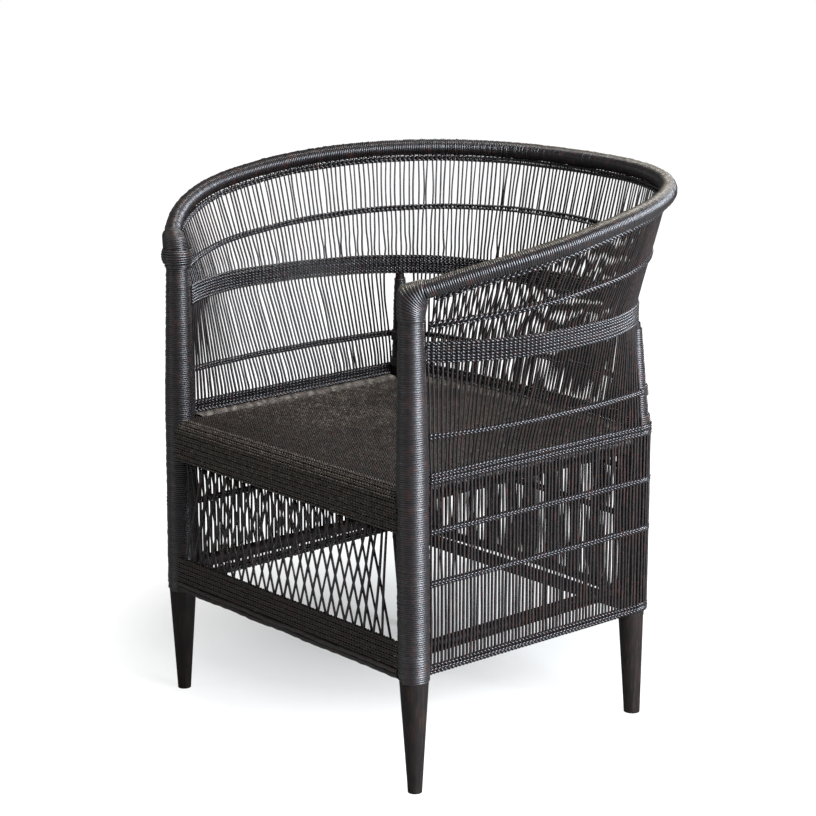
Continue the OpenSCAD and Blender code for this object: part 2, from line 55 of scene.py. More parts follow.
# %% Plan of the skirt
FRONT_Y = 22.3
SKIRT_FRONT_X = 261.0
REAR_X, REAR_Y = 246.0, 421.0
CORNER_R = 20.5
BACK_BULGE = 19.0


def unit(v):
    """Each vector divided by its length."""
    return v / np.maximum(np.linalg.norm(v, axis=-1, keepdims=True), 1e-9)


def lines_of_skirt():
    """A straight side, an arc round the rear post and a shallow arc across the back.

    The side's angle is that of the line to the post less arcsin(corner radius / distance).
    The back's radius is (half width^2 + bulge^2) / (2 bulge), plus the corner's."""
    centre = np.array([REAR_X, REAR_Y])
    start = np.array([SKIRT_FRONT_X, FRONT_Y])
    d = centre - start
    a = np.arctan2(d[1], d[0]) - np.arcsin(CORNER_R / np.hypot(*d))
    along = np.array([np.cos(a), np.sin(a)])
    out = np.array([along[1], -along[0]])
    side = np.hypot(*(centre + CORNER_R * out - start))
    back_r = (REAR_X**2 + BACK_BULGE**2) / (2 * BACK_BULGE) + CORNER_R
    back_y = REAR_Y + BACK_BULGE + CORNER_R - back_r
    a0 = np.arctan2(out[1], out[0])
    a1 = np.arctan2(REAR_Y - back_y, REAR_X)
    corner = CORNER_R * (a1 - a0)
    back = back_r * (np.pi / 2 - a1)
    return start, along, side, corner, side + corner + back, a0, a1, back_r, back_y


(SKIRT_START, SKIRT_DIR, SIDE_LEN, CORNER_LEN, SKIRT_LEN,
 CORNER_A0, CORNER_A1, BACK_R, BACK_Y) = lines_of_skirt()
CORNER_F0, CORNER_F1 = SIDE_LEN / SKIRT_LEN, (SIDE_LEN + CORNER_LEN) / SKIRT_LEN


def skirt(f):
    """Point of the skirt at fraction f of its length from front post to middle of the back.

    With s = f * length: start + s * direction, then two arcs, each centre + radius *
    (cos, sin) of an angle that grows by s / radius."""
    s = np.asarray(f, float) * SKIRT_LEN
    a = CORNER_A0 + (s - SIDE_LEN) / CORNER_R
    b = CORNER_A1 + (s - SIDE_LEN - CORNER_LEN) / BACK_R
    on_side, on_corner = s < SIDE_LEN, s < SIDE_LEN + CORNER_LEN
    x = np.where(on_corner, REAR_X + CORNER_R * np.cos(a), BACK_R * np.cos(b))
    y = np.where(on_corner, REAR_Y + CORNER_R * np.sin(a), BACK_Y + BACK_R * np.sin(b))
    x = np.where(on_side, SKIRT_START[0] + s * SKIRT_DIR[0], x)
    y = np.where(on_side, SKIRT_START[1] + s * SKIRT_DIR[1], y)
    return np.stack([x, y], -1)


print("skirt", round(SKIRT_LEN), "mm a side, the back's radius", round(BACK_R), "mm")

# %% Plans of waist and rail
RAIL_FRONT_Z, RAIL_RISE = 667, 101
RAIL_SKIP = 0.045


def rounded_plan(half_wide, widest_y, back_y, front_power, back_power, start):
    """Quarters of |x/a|^p + |y/b|^p = 1 before and behind the widest place, joined to start.

    Returns points and the fraction of the length at each, and the length."""
    front_share = (1 - (start[0] / half_wide) ** front_power) ** (1 / front_power)
    depth = (widest_y - start[1]) / front_share
    t = np.radians(np.arange(90, -0.1, -1.5))
    front = np.stack([half_wide * np.cos(t).clip(0) ** (2 / front_power),
                      widest_y - depth * np.sin(t).clip(0) ** (2 / front_power)], -1)
    front = front[front[:, 1] > start[1] + 0.5]
    t = np.radians(np.arange(1.5, 90.1, 1.5))
    back = np.stack([half_wide * np.cos(t).clip(0) ** (2 / back_power),
                     widest_y + (back_y - widest_y) * np.sin(t).clip(0) ** (2 / back_power)], -1)
    points = np.concatenate([[start], front, back])
    run = np.concatenate([[0], np.cumsum(np.hypot(*np.diff(points, axis=0).T))])
    return points, run / run[-1], run[-1]


WAIST, WAIST_F, WAIST_LEN = rounded_plan(312.0, 176.0, 494.0, 1.8, 2.7, (252.5, FRONT_Y))
RAIL, RAIL_F, RAIL_LEN = rounded_plan(370.0, 189.0, 534.0, 2.0, 2.3, (254.5, -5.0))


def waist(f):
    """Point of the waist at fraction f, read between the points of its table."""
    return np.stack([np.interp(f, WAIST_F, WAIST[:, k]) for k in (0, 1)], -1)


def rise(f, power=3.0):
    """1 - (1 - f)^power: quick at the arms and level at the back."""
    return 1 - (1 - np.clip(f, 0, 1)) ** power


def rail_at(f):
    """Middle of the rail at fraction f: plan from its table, height by RAIL_RISE * rise."""
    x, y = (np.interp(f, RAIL_F, RAIL[:, k]) for k in (0, 1))
    return np.stack([x, y, RAIL_FRONT_Z + RAIL_RISE * rise(f)], -1)


def rail(f):
    """Point of the rail that the wall meets at fraction f: it begins RAIL_SKIP of the way on."""
    return rail_at(RAIL_SKIP + (1 - RAIL_SKIP) * np.asarray(f, float))


print("waist", round(WAIST_LEN), "and rail", round(RAIL_LEN), "mm a side")

# %% The wall between them
BEND_Z, WAIST_LOW, WAIST_HIGH = 436.0, 574.0, 604.0
BEND_SOFT = 7.0
STEP_F, STEP_Z = 0.004, 3


def wall_line(f, z):
    """Wall at fraction f and height z: upright, leaning out, upright, leaning out.

    Plan = skirt + a (waist - skirt) + b (rail - waist), where a grows from 0 to 1 between
    the bend and the waist, and b between the waist and the rail."""
    f, z = np.broadcast_arrays(np.asarray(f, float), np.asarray(z, float))
    low, middle, high = skirt(f), waist(f), rail(f)
    a = ((z - BEND_Z) / (WAIST_LOW - BEND_Z)).clip(0, 1)[..., None]
    b = ((z - WAIST_HIGH) / (high[..., 2] - WAIST_HIGH)).clip(0, None)[..., None]
    plan = low + (middle - low) * a + (high[..., :2] - middle) * b
    return np.concatenate([plan, z[..., None]], -1)


def wall(f, z):
    """The wall with its bends eased: the mean of three heights, BEND_SOFT apart."""
    z = np.asarray(z, float)
    mean = sum(wall_line(f, z + k * BEND_SOFT)[..., :2] for k in (-1, 0, 1)) / 3
    return np.concatenate([mean, np.broadcast_to(z, mean.shape[:-1])[..., None]], -1)


def outward(f, z):
    """Unit vector out of the wall: the cross product of along-the-wall and up-the-wall."""
    f, z = np.asarray(f, float), np.asarray(z, float)
    along = wall(np.minimum(f + STEP_F, 1), z) - wall(np.maximum(f - STEP_F, 0), z)
    up = wall(f, z + STEP_Z) - wall(f, z - STEP_Z)
    return unit(np.cross(along, up))


def around(u, z):
    """Wall point and outward vector for u from 0 (right front) over 1 (back) to 2.

    Past 1 it is the point at f = 2 - u with x and the vector's x turned to the left."""
    u = np.asarray(u, float)
    left = (u > 1)[..., None]
    f = np.where(u > 1, 2 - u, u).clip(0, 1)
    p, n = wall(f, z), outward(f, z)
    flip = np.array([-1.0, 1.0, 1.0])
    return np.where(left, p * flip, p), np.where(left, n * flip, n)


middle_of_back = wall(1.0, [STEP_Z, WAIST_LOW, WAIST_HIGH, 760])
print("middle of the back, y from skirt to rail:", middle_of_back[:, 1].round())

# %% [markdown]
# ## Strands and meshes
# Cane is a round or flat strand that is bent, twisted or wound. A curve object with a
# bevel could show one, but there are thousands, and a pattern should follow each. So all
# strands of a piece are swept at once as arrays and put into one mesh. The attribute
# `lay` holds for each vertex the way along its strand, the way round it (both in mm) and
# the strand's own number from 0 to 1. A second attribute says how far sun and wear have
# paled it. On the rail and the elbows it also carries painted light: paler tops, and a
# right arm that is painted paler on the side of the window.

# %% Sweeping
def section(sides, wide, thick):
    """Ellipse of points: (thick/2 cos a, wide/2 sin a)."""
    a = np.arange(sides) * 2 * np.pi / sides
    return np.stack([thick / 2 * np.cos(a), wide / 2 * np.sin(a)], -1)


def sweep(paths, out, outline, swell=None):
    """Sections carried along many paths: point = path + a * out + b * (along x out).

    paths is (strands, stations, 3), out the same or one vector, swell a factor for each
    station. Returns points (strands, stations, sides, 3) and the run along each path."""
    along = unit(np.gradient(paths, axis=1))
    out = np.broadcast_to(out, paths.shape)
    across = unit(np.cross(along, out))
    out = np.cross(across, along)
    grid = paths.shape[:2]
    size = np.ones(grid) if swell is None else np.broadcast_to(swell, grid)
    a = outline[:, 0][None, None, :, None] * size[..., None, None]
    b = outline[:, 1][None, None, :, None] * size[..., None, None]
    points = paths[:, :, None] + a * out[:, :, None] + b * across[:, :, None]
    steps = np.linalg.norm(np.diff(paths, axis=1), axis=-1)
    run = np.concatenate([np.zeros((len(paths), 1)), np.cumsum(steps, 1)], 1)
    return points, run


def skin(strands, stations, sides):
    """Corner numbers of the quads between stations, and of the two caps of each strand.

    Corner j of station i of strand s is (s * stations + i) * sides + j."""
    s, i, j = np.meshgrid(np.arange(strands), np.arange(stations - 1), np.arange(sides),
                          indexing="ij")
    a = (s * stations + i) * sides + j
    b = (s * stations + i) * sides + (j + 1) % sides
    quads = np.stack([a, b, b + sides, a + sides], -1).reshape(-1, 4)
    first = np.arange(strands)[:, None] * stations * sides + np.arange(sides)[None, ::-1]
    last = first[:, ::-1] + (stations - 1) * sides
    return [quads, first, last]


print("one strand of 44 stations and 8 sides has", len(skin(1, 44, 8)[0]), "quads")

# %% Building
MIDDLE_Y = 262.5
print("the middle of the frame is Y =", MIDDLE_Y, "mm")


def build(name, points, faces, lay, fade, material, slot, *nodes):
    """One mesh on the frame from points in millimetres, standing for the CAD nodes.

    Its place is (x, y - MIDDLE_Y, z) / 1000, because the frame's middle is Y = 0."""
    name = name.replace(",", "").replace(" ", "_")
    place = (points.reshape(-1, 3) - [0, MIDDLE_Y, 0]) / 1000
    corners = np.concatenate([f.ravel() for f in faces]).astype(np.int32)
    sizes = np.concatenate([np.full(len(f), f.shape[1]) for f in faces])
    mesh = bpy.data.meshes.new(name)
    mesh.vertices.add(len(place))
    mesh.vertices.foreach_set("co", place.astype(np.float32).ravel())
    mesh.loops.add(len(corners))
    mesh.loops.foreach_set("vertex_index", corners)
    mesh.polygons.add(len(sizes))
    mesh.polygons.foreach_set("loop_start", (np.cumsum(sizes) - sizes).astype(np.int32))
    mesh.polygons.foreach_set("use_smooth", sizes == 4)
    lay_values = mesh.attributes.new("lay", "FLOAT_VECTOR", "POINT")
    lay_values.data.foreach_set("vector", lay.reshape(-1, 3).astype(np.float32).ravel())
    bleach_and_light_values = mesh.attributes.new("fade", "FLOAT", "POINT")
    fade = np.broadcast_to(fade, points.shape[:-1])
    bleach_and_light_values.data.foreach_set("value", fade.ravel().astype(np.float32))
    mesh.update(calc_edges=True)
    mesh.materials.append(material)
    obj = bpy.data.objects.new(name, mesh)
    bpy.context.scene.collection.objects.link(obj)
    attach(obj, "root")
    if nodes:
        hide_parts(*nodes)
    print(f"{name}: {len(place)} vertices, {len(sizes)} faces")
    return obj


# %% Laying strands
def lay_of(run, sides, radius, number):
    """The lay of swept strands: run along, arc round and the strand's own number."""
    strands, stations = run.shape
    ring = np.arange(sides) / sides * 2 * np.pi * radius
    number = np.broadcast_to(np.reshape(number, (-1, 1, 1)), (strands, stations, sides))
    return np.stack([np.broadcast_to(run[..., None], number.shape),
                     np.broadcast_to(ring, number.shape), number], -1)


def lay_strands(name, paths, out, outline, material, slot, nodes, swell=None, fade=0.0):
    """Sweeps closed strands, numbers them at random and builds the mesh."""
    points, run = sweep(paths, out, outline, swell)
    sides = len(outline)
    lay = lay_of(run, sides, np.abs(outline).max(), rng.random(len(paths)))
    faces = skin(len(paths), paths.shape[1], sides)
    fade = np.asarray(fade, float)
    if fade.ndim == 2:
        fade = fade[..., None]
    return build(name, points, faces, lay, fade, material, slot, *nodes)


print("a strand 3 mm thick is", round(2 * np.pi * 1.5, 1), "mm round in its lay")

# %% [markdown]
# ## Finishes
# The cane is rattan, split or whole, stained nearly black and lacquered by hand. The stain
# sinks in unevenly along the fibres, warm brown shows where the chair is rubbed, and the
# sun has bleached what faces up. On the rail and the elbows that pale colour is partly
# bleaching and partly painted light, laid on their tops and most on the right arm,
# towards the window. One picture of cane could be wrapped round everything, but its
# streaks would cross the strands. Here noise reads `lay`, so streaks run along each cane,
# and the cane's number shifts its shade, as between real canes.

# %% One function for nodes
def linear(hex_colour):
    """sRGB hex to linear light: c / 12.92 up to 0.04045, else ((c + 0.055) / 1.055)^2.4."""
    c = np.array([int(hex_colour[i:i + 2], 16) for i in (1, 3, 5)]) / 255
    return (*np.where(c <= 0.04045, c / 12.92, ((c + 0.055) / 1.055) ** 2.4), 1.0)


def put(tree, kind, inputs=None, stops=(), **settings):
    """Adds a shader node. inputs holds values or the outputs to link, settings its fields,
    and stops the places and colours (or greys) of a colour ramp."""
    node = tree.nodes.new("ShaderNode" + kind)
    for key, value in settings.items():
        setattr(node, key, value)
    for key, value in (inputs or {}).items():
        if isinstance(value, bpy.types.NodeSocket):
            tree.links.new(value, node.inputs[key])
        else:
            node.inputs[key].default_value = value
    for number, (place, value) in enumerate(stops):
        if number >= len(node.color_ramp.elements):
            node.color_ramp.elements.new(1.0)
        element = node.color_ramp.elements[number]
        element.position = place
        element.color = linear(value) if isinstance(value, str) else (value, value, value, 1)
    return node


def start_material(name):
    """A node material, its tree and its principled shader."""
    material = bpy.data.materials.new(name)
    material.use_nodes = True
    tree = material.node_tree
    return material, tree, tree.nodes["Principled BSDF"]


print("mid grey #808080 is", round(float(linear("#808080")[0]), 3), "in linear light")

# %% Cane finish
# Sizes in mm: a stained fibre bundle of rattan is about 0.6 wide and shows for some 33, a
# rubbed patch is 83 long, and blotches and rust-brown spots are 7 and 11 wide. Single
# fibres are finer than a pixel and are left to the bundles.
STREAK_LONG, STREAK_WIDE = 33.3333, 0.625
PATCH_LONG = 83.3333
BLOTCH, RUST_SPOT = 6.66667, 10.5263
RUST = "#3f221a"
APART = 613.0
PLANT_IOR = 1.5


def cane_finish(name, stain, dark, warm, bleached_and_lit, gloss, coat, rust, shine=0.5,
                coat_rough=0.27):
    """Stain over streaks along the strand, warm where it is rubbed, under lacquer.

    stain, dark and warm are colours, and so is the fourth, the pale colour of bleached
    cane, which on the rail and the elbows stands for painted light as well; gloss is the
    roughness of the cane, coat the weight of its lacquer, rust how red its rubbed spots
    are and shine the specular level.
    Noise is read at lay / size, with the strand's number times APART as third axis."""
    material, tree, shader = start_material(name)
    lay = put(tree, "Attribute", attribute_name="lay").outputs["Vector"]
    fade = put(tree, "Attribute", attribute_name="fade").outputs["Fac"]
    number = put(tree, "SeparateXYZ", {"Vector": lay}).outputs["Z"]
    place = put(tree, "TexCoord").outputs["Object"]
    fibre = put(tree, "VectorMath", {0: lay, 1: (1 / STREAK_LONG, 1 / STREAK_WIDE, APART)},
                operation="MULTIPLY").outputs[0]
    streaks = put(tree, "TexNoise", {"Vector": fibre, "Scale": 1.0, "Detail": 4.0,
                                     "Roughness": 0.6}).outputs["Fac"]
    stretch = put(tree, "VectorMath", {0: lay, 1: (1 / PATCH_LONG, 0.0, APART)},
                  operation="MULTIPLY").outputs[0]
    patches = put(tree, "TexNoise", {"Vector": stretch, "Scale": 1.0,
                                     "Detail": 2.0}).outputs["Fac"]
    blotches = put(tree, "TexNoise", {"Vector": place, "Scale": 1000 / BLOTCH, "Detail": 3.0,
                                      "Roughness": 0.7}).outputs["Fac"]
    spots = put(tree, "TexNoise", {"Vector": place, "Scale": 1000 / RUST_SPOT,
                                   "Detail": 2.0}).outputs["Fac"]

    base = put(tree, "ValToRGB", {"Fac": streaks},
               stops=((0.3, dark), (0.55, stain), (0.78, warm))).outputs["Color"]
    own_shade = put(tree, "ValToRGB", {"Fac": number},
                    stops=((0.0, 0.62), (0.5, 1.0), (1.0, 1.45))).outputs["Color"]
    base = put(tree, "Mix", {0: 1.0, 6: base, 7: own_shade},
               data_type="RGBA", blend_type="MULTIPLY").outputs[2]
    rubbed = put(tree, "ValToRGB", {"Fac": patches},
                 stops=((0.56, 0.0), (0.72, 0.75))).outputs["Color"]
    base = put(tree, "Mix", {0: rubbed, 6: base, 7: linear(warm)},
               data_type="RGBA").outputs[2]
    # The pale colour is mixed in for bleaching and, on the rail and elbows, for painted light.
    uneven = put(tree, "Math", {0: patches, 1: 0.42}, operation="ADD").outputs[0]
    bleach_and_light_share = put(tree, "Math", {0: fade, 1: uneven}, operation="MULTIPLY").outputs[0]
    base = put(tree, "Mix", {0: bleach_and_light_share, 6: base, 7: linear(bleached_and_lit)},
               data_type="RGBA").outputs[2]
    mottle = put(tree, "ValToRGB", {"Fac": blotches},
                 stops=((0.36, 0.35), (0.6, 1.35))).outputs["Color"]
    base = put(tree, "Mix", {0: 1.0, 6: base, 7: mottle},
               data_type="RGBA", blend_type="MULTIPLY").outputs[2]
    rusty = put(tree, "ValToRGB", {"Fac": spots},
                stops=((0.56, 0.0), (0.68, rust))).outputs["Color"]
    base = put(tree, "Mix", {0: rusty, 6: base, 7: linear(RUST)},
               data_type="RGBA").outputs[2]
    tree.links.new(base, shader.inputs["Base Color"])

    rough = put(tree, "Math", {0: streaks, 1: 0.22, 2: gloss - 0.11},
                operation="MULTIPLY_ADD").outputs[0]
    tree.links.new(rough, shader.inputs["Roughness"])
    shader.inputs["IOR"].default_value = PLANT_IOR
    shader.inputs["Specular IOR Level"].default_value = shine
    shader.inputs["Coat Weight"].default_value = coat
    shader.inputs["Coat Roughness"].default_value = coat_rough
    shader.inputs["Coat IOR"].default_value = PLANT_IOR
    relief = put(tree, "Bump", {"Strength": 0.25, "Distance": 0.0004, "Height": streaks})
    tree.links.new(relief.outputs[0], shader.inputs["Normal"])
    return material


# %% The chair's canes
# Split cane for the bindings keeps its glossy outer skin under a full coat of lacquer, so
# a long soft highlight runs down the posts. Its pale colour is bleaching, and on the
# elbows painted light as well.
bound_cane = cane_finish("lacquered binding cane", "#161011", "#090707", "#38221b",
                         "#6a6150", 0.4, 0.8, 0.45, coat_rough=0.4)
# The rail is handled most: thinner lacquer, and warmer where hands have rubbed it. Its
# pale colour is bleaching on top and painted light as well, most on the right arm.
rail_cane = cane_finish("lacquered rail cane", "#0f0b0c", "#070606", "#33201a",
                        "#6a6254", 0.38, 0.6, 0.6)
# Whole cane stakes took stain and little lacquer: a dull, brown-black wall.
stake_cane = cane_finish("stained stake cane", "#18110f", "#0b0807", "#38221c",
                         "#6d6452", 0.46, 0.15, 0.4, shine=0.42)
# The twined rows stand out from the wall and catch the lacquer brush, so they glint.
twined_cane = cane_finish("lacquered twined cane", "#131012", "#080708", "#331f19",
                          "#7c776b", 0.34, 0.75, 0.4, coat_rough=0.3)
# Sitting has worn the seat's lacquer off: matt, greyer and bleached at the crowns.
seat_cane = cane_finish("worn seat cane", "#221c18", "#0f0c0b", "#41291f",
                        "#877f73", 0.5, 0.12, 0.6)
# Apron and lower panel are stained, hardly lacquered and less worn: matt dark brown.
panel_cane = cane_finish("stained panel cane", "#2b221e", "#13100e", "#4c3027",
                         "#665d4e", 0.46, 0.2, 0.6)
for cane in (bound_cane, rail_cane, stake_cane, twined_cane, seat_cane, panel_cane):
    print(f"{cane.name}: {len(cane.node_tree.nodes)} nodes")

# %% [markdown]
# ## Wood
# Posts and stretchers are turned hardwood, stained like the cane and left unlacquered, so
# they are matt with a fine grain along the piece and lighter rubs. Their CAD meshes are
# right as they are and only get a finish. A procedural grain in object coordinates
# needs no unwrapping: noise is squeezed across the grain and stretched along it.

# %% Wood finish
# Pores of hardwood are 0.1 mm wide, which is finer than a pixel, so the grain is drawn
# 2.4 mm wide and 38 mm long. Rubbed places are as wide as two fingers, 29 mm.
GRAIN_WIDE, GRAIN_LONG = 2.38095, 38.4615
RUB_WIDE = 29.4118


def wood_finish(name, grain_axis):
    """Stained hardwood: noise at place / (grain width, or length along grain_axis)."""
    material, tree, shader = start_material(name)
    dark, stain, worn = "#0a0706", "#19110e", "#38241a"
    sizes = np.where(np.arange(3) == grain_axis, GRAIN_LONG, GRAIN_WIDE)
    place = put(tree, "TexCoord").outputs["Object"]
    stretched = put(tree, "Mapping", {"Vector": place, "Scale": 1000 / sizes}).outputs[0]
    fibres = put(tree, "TexNoise", {"Vector": stretched, "Scale": 1.0, "Detail": 6.0,
                                    "Roughness": 0.65, "Distortion": 0.4}).outputs["Fac"]
    wear = put(tree, "TexNoise", {"Vector": place, "Scale": 1000 / RUB_WIDE,
                                  "Detail": 3.0}).outputs["Fac"]
    base = put(tree, "ValToRGB", {"Fac": fibres},
               stops=((0.32, dark), (0.52, stain), (0.74, worn))).outputs["Color"]
    rubbed = put(tree, "ValToRGB", {"Fac": wear},
                 stops=((0.58, 0.0), (0.75, 0.35))).outputs["Color"]
    base = put(tree, "Mix", {0: rubbed, 6: base, 7: linear(worn)},
               data_type="RGBA").outputs[2]
    tree.links.new(base, shader.inputs["Base Color"])
    rough = put(tree, "Math", {0: fibres, 1: 0.3, 2: 0.42},
                operation="MULTIPLY_ADD").outputs[0]
    tree.links.new(rough, shader.inputs["Roughness"])
    shader.inputs["IOR"].default_value = PLANT_IOR
    shader.inputs["Specular IOR Level"].default_value = 0.3
    relief = put(tree, "Bump", {"Strength": 0.3, "Distance": 0.0006, "Height": fibres})
    tree.links.new(relief.outputs[0], shader.inputs["Normal"])
    return material


upright_wood = wood_finish("stained hardwood, upright", 2)
cross_wood = wood_finish("stained hardwood, crosswise", 0)
LIE_ACROSS = ("seat_rail", "front_stretcher", "rear_stretcher", "side_stretcher")
OF_WOOD = ("front_post", "rear_post", "top_rail", *LIE_ACROSS)

stained = [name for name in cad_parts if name.startswith(OF_WOOD)]
for name in stained:
    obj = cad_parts[name]
    obj.data.materials.clear()
    obj.data.materials.append(cross_wood if name.startswith(LIE_ACROSS) else upright_wood)
print(len(stained), "nodes stained; those that are bound get their cane below")

# %% [markdown]
# ## Stakes
# The stakes are the upright canes of the wall, one each from the border to the rail, with
# light between them. An array modifier could repeat one, but the wall widens upwards and
# no two canes are alike. Each follows the wall's formula at its own f, sways a little
# between the twined rows that hold it, and thins towards the rail. Round a rear post the
# stakes stop at its lashing and go on above the lower edge of the waist.

# %% Stakes of the wall
STAKES = 107
STAKE_R = 1.7
STAKE_FOOT = 158.0
STAKE_STATIONS = 44
HELD_AT = [158, 281, 352, 424, 479, 589, 640, 760]
SWAY_LOW, SWAY_HIGH, SWAY_OUT = 0.95, 1.2, 0.25
SHORT_OF_RAIL = 11.0
LASHING_LOW = 431.0
BEFORE_POST, PAST_POST = 0.009, 0.004


def stake_paths(u, low, high):
    """Paths from height low to high (one of each per stake), with seeded sway.

    Sway is a random number for each stake and gap between rows, times sin^2 across it."""
    t = np.linspace(0, 1, STAKE_STATIONS)[None]
    z = low[:, None] + (high - low)[:, None] * t
    gap = np.interp(z, HELD_AT, np.arange(8.0))
    free = np.sin(np.pi * (gap % 1.0)) ** 2
    sway = rng.normal(0, 1, (len(u), 9))
    pull = np.take_along_axis(sway, np.clip(gap.astype(int), 0, 8), 1) * free
    lean = np.where(z > WAIST_HIGH, SWAY_HIGH, SWAY_LOW)
    p, n = around(np.broadcast_to(u[:, None], z.shape), z)
    side = unit(np.cross(n, [0, 0, 1.0]))
    return p + side * (pull * lean)[..., None] + n * (SWAY_OUT * pull)[..., None], n


def top_of(f):
    """Height where a stake stops: SHORT_OF_RAIL before the rail's middle, up the wall."""
    meets, waist_top = rail(f), wall_line(f, WAIST_HIGH)
    return (meets - SHORT_OF_RAIL * unit(meets - waist_top))[..., 2]


stake_u = (np.arange(2 * STAKES) + 0.5) / STAKES
stake_f = np.where(stake_u > 1, 2 - stake_u, stake_u)
tops = top_of(stake_f)
at_post = (stake_f > CORNER_F0 - BEFORE_POST) & (stake_f < CORNER_F1 + PAST_POST)
low = np.concatenate([np.full(len(stake_u), STAKE_FOOT), np.full(at_post.sum(), WAIST_LOW + 2)])
high = np.concatenate([np.where(at_post, LASHING_LOW, tops), tops[at_post]])
stake_u = np.concatenate([stake_u, stake_u[at_post]])
paths, out = stake_paths(stake_u, low, high)
girth = (1 + 0.07 * rng.normal(0, 1, (len(stake_u), 1))
         + 0.03 * rng.normal(0, 1, (len(stake_u), STAKE_STATIONS)))
taper = np.interp(paths[..., 2], [158, 430, 760], [1.08, 1.0, 0.74])
lay_strands("stakes of the wall", paths, out, section(8, 2 * STAKE_R, 2 * STAKE_R),
            stake_cane, "stake_cane",
            ("skirt_stakes_left", "skirt_stakes_right", "skirt_stakes_back",
             "wall_stakes_left", "wall_stakes_right", "wall_stakes_back"),
            swell=girth.clip(0.85, 1.12) * taper)

# %% [markdown]
# ## Twined rows
# Rows of two strands hold the stakes: the strands pass a stake on either side and cross
# before the next. A rope texture on a band would do from afar, but from near the eye
# follows one strand over the other. So both are laid: a strand's distance from the wall is
# (stake + strand radius) cos a, flattened, and its height a share of the strand radius
# times sin a, where a grows by pi at each stake. The other strand runs half a turn behind.
# Rows twist in turn one way and the other; those of the broad waist band all twist alike.

# %% Twining
STRAND_R = 1.42
TWIST, WAIST_TWIST = 0.8, 0.62
WAIST_LIFT = 0.5
WAIST_BROAD = 1.06
NESTLE = 0.15
FLATTEN = 0.65
TWINE_STEP = 0.25
CORNER_HOLD = 0.012
HELD_IN, HELD_OUT = -0.2, 1.5


def twined_paths(q, level, hand, phase, z_of, lift):
    """Path of one strand at stake numbers q: level is its row, hand how far and which way
    it twists, lift how far its crossings lie out. Lashed corners hold it close."""
    a = np.pi * q + phase
    u = (q + 0.5) / STAKES
    f = np.where(u > 1, 2 - u, u)
    z = z_of(f) + level + hand * STRAND_R * np.sin(a)
    p, n = around(u, z)
    reach = (STAKE_R + STRAND_R - NESTLE) * np.sign(np.cos(a)) * np.abs(np.cos(a)) ** FLATTEN
    reach = reach + lift * (1 - np.abs(np.cos(a)))
    held = (z < BEND_Z) & (f > CORNER_F0 - CORNER_HOLD) & (f < CORNER_F1 + CORNER_HOLD)
    return p + n * np.where(held, reach.clip(HELD_IN, HELD_OUT), reach)[..., None], n


def twine(name, count, pitch, z_of, spans, nodes, alike=False):
    """Rows of twining over the spans of stake numbers, in one mesh; alike if all the rows
    twist the same way. Each row wanders up and down by two slow waves of 0.25 and 0.2 mm."""
    strands = []
    for start, end in spans:
        q = np.arange(start, end + 0.01, TWINE_STEP)
        for row in range(count):
            level = (row - (count - 1) / 2) * pitch
            hand = -WAIST_TWIST if alike else TWIST * (2 * (row % 2) - 1)
            wander = 0.25 * np.sin(q * 0.11 + 2 * row) + 0.2 * np.sin(q * 0.37 + row)
            strands += [twined_paths(q, level + wander, hand, phase, z_of,
                                     WAIST_LIFT if alike else 0.0) for phase in (0, np.pi)]
    broad = WAIST_BROAD if alike else 1.0
    outline = section(6, 2 * STRAND_R * broad, 2 * STRAND_R * 0.94)
    points, faces, lays, base = [], [], [], 0
    for length in sorted({len(path) for path, _ in strands}):
        paths, normals = zip(*[strand for strand in strands if len(strand[0]) == length])
        swept, run = sweep(np.array(paths), np.array(normals), outline)
        points.append(swept.reshape(-1, 3))
        lays.append(lay_of(run, 6, STRAND_R, rng.random(len(run))).reshape(-1, 3))
        faces += [f + base for f in skin(*run.shape, 6)]
        base += run.size * 6
    return build(name, np.concatenate(points), faces, np.concatenate(lays), 0.0,
                 twined_cane, "twined_cane", *nodes)


print("a twined row of", 2 * STAKES, "stakes crosses", 2 * STAKES - 1, "times")

# %% Rows of the chair
ROW_PITCH, WAIST_PITCH = 4.1, 4.05
FRONT_OVERLAP = 0.45
ALL_ROUND = [(-FRONT_OVERLAP, 2 * STAKES - 1 + FRONT_OVERLAP)]
LAST_SIDE = CORNER_F0 * STAKES - 0.5
FIRST_BACK = CORNER_F1 * STAKES - 0.5
ARMS_AND_BACK = [(-FRONT_OVERLAP, LAST_SIDE), (FIRST_BACK, 2 * STAKES - 1 - FIRST_BACK),
                 (2 * STAKES - 1 - LAST_SIDE, 2 * STAKES - 1 + FRONT_OVERLAP)]
UNDER_RAIL = 12.7 + 3.7
UPPER_FRONT_Z, UPPER_RISE, UPPER_POWER = 625, 58, 1.9
WAIST_Z = 589


def under_rail(f):
    """Height of the rows under the rail: the rail's middle less UNDER_RAIL."""
    return rail(f)[..., 2] - UNDER_RAIL


def risen_upper(f):
    """Height of the rows between waist and rail: UPPER_FRONT_Z + UPPER_RISE * rise."""
    return UPPER_FRONT_Z + UPPER_RISE * rise(f, UPPER_POWER)


def level_at(height):
    """A function that gives level rows the same height for every f."""
    return lambda f: height + 0 * f


twine("twined rows under the rail", 2, ROW_PITCH, under_rail, ALL_ROUND, ["rail_twine"])
twine("twined rows above the waist", 2, ROW_PITCH, risen_upper, ALL_ROUND, ["upper_twine"])
twine("twined waist band", 7, WAIST_PITCH, level_at(WAIST_Z), ALL_ROUND, ["waist_band"],
      alike=True)
for name, count, height, spans, nodes in (
        ("twined rows round the arms", 2, 479, ARMS_AND_BACK,
         ["arm_twine_left", "arm_twine_right", "arm_twine_back"]),
        ("twined rows above the seat", 4, 424, ALL_ROUND, ["seat_twine"]),
        ("twined rows, upper skirt", 2, 352, ALL_ROUND, ["upper_skirt_twine"]),
        ("twined rows, lower skirt", 2, 281, ALL_ROUND, ["lower_skirt_twine"]),
        ("twined border", 3, 165, ALL_ROUND, ["border_twine"])):
    twine(name, count, ROW_PITCH, level_at(height), spans, nodes)

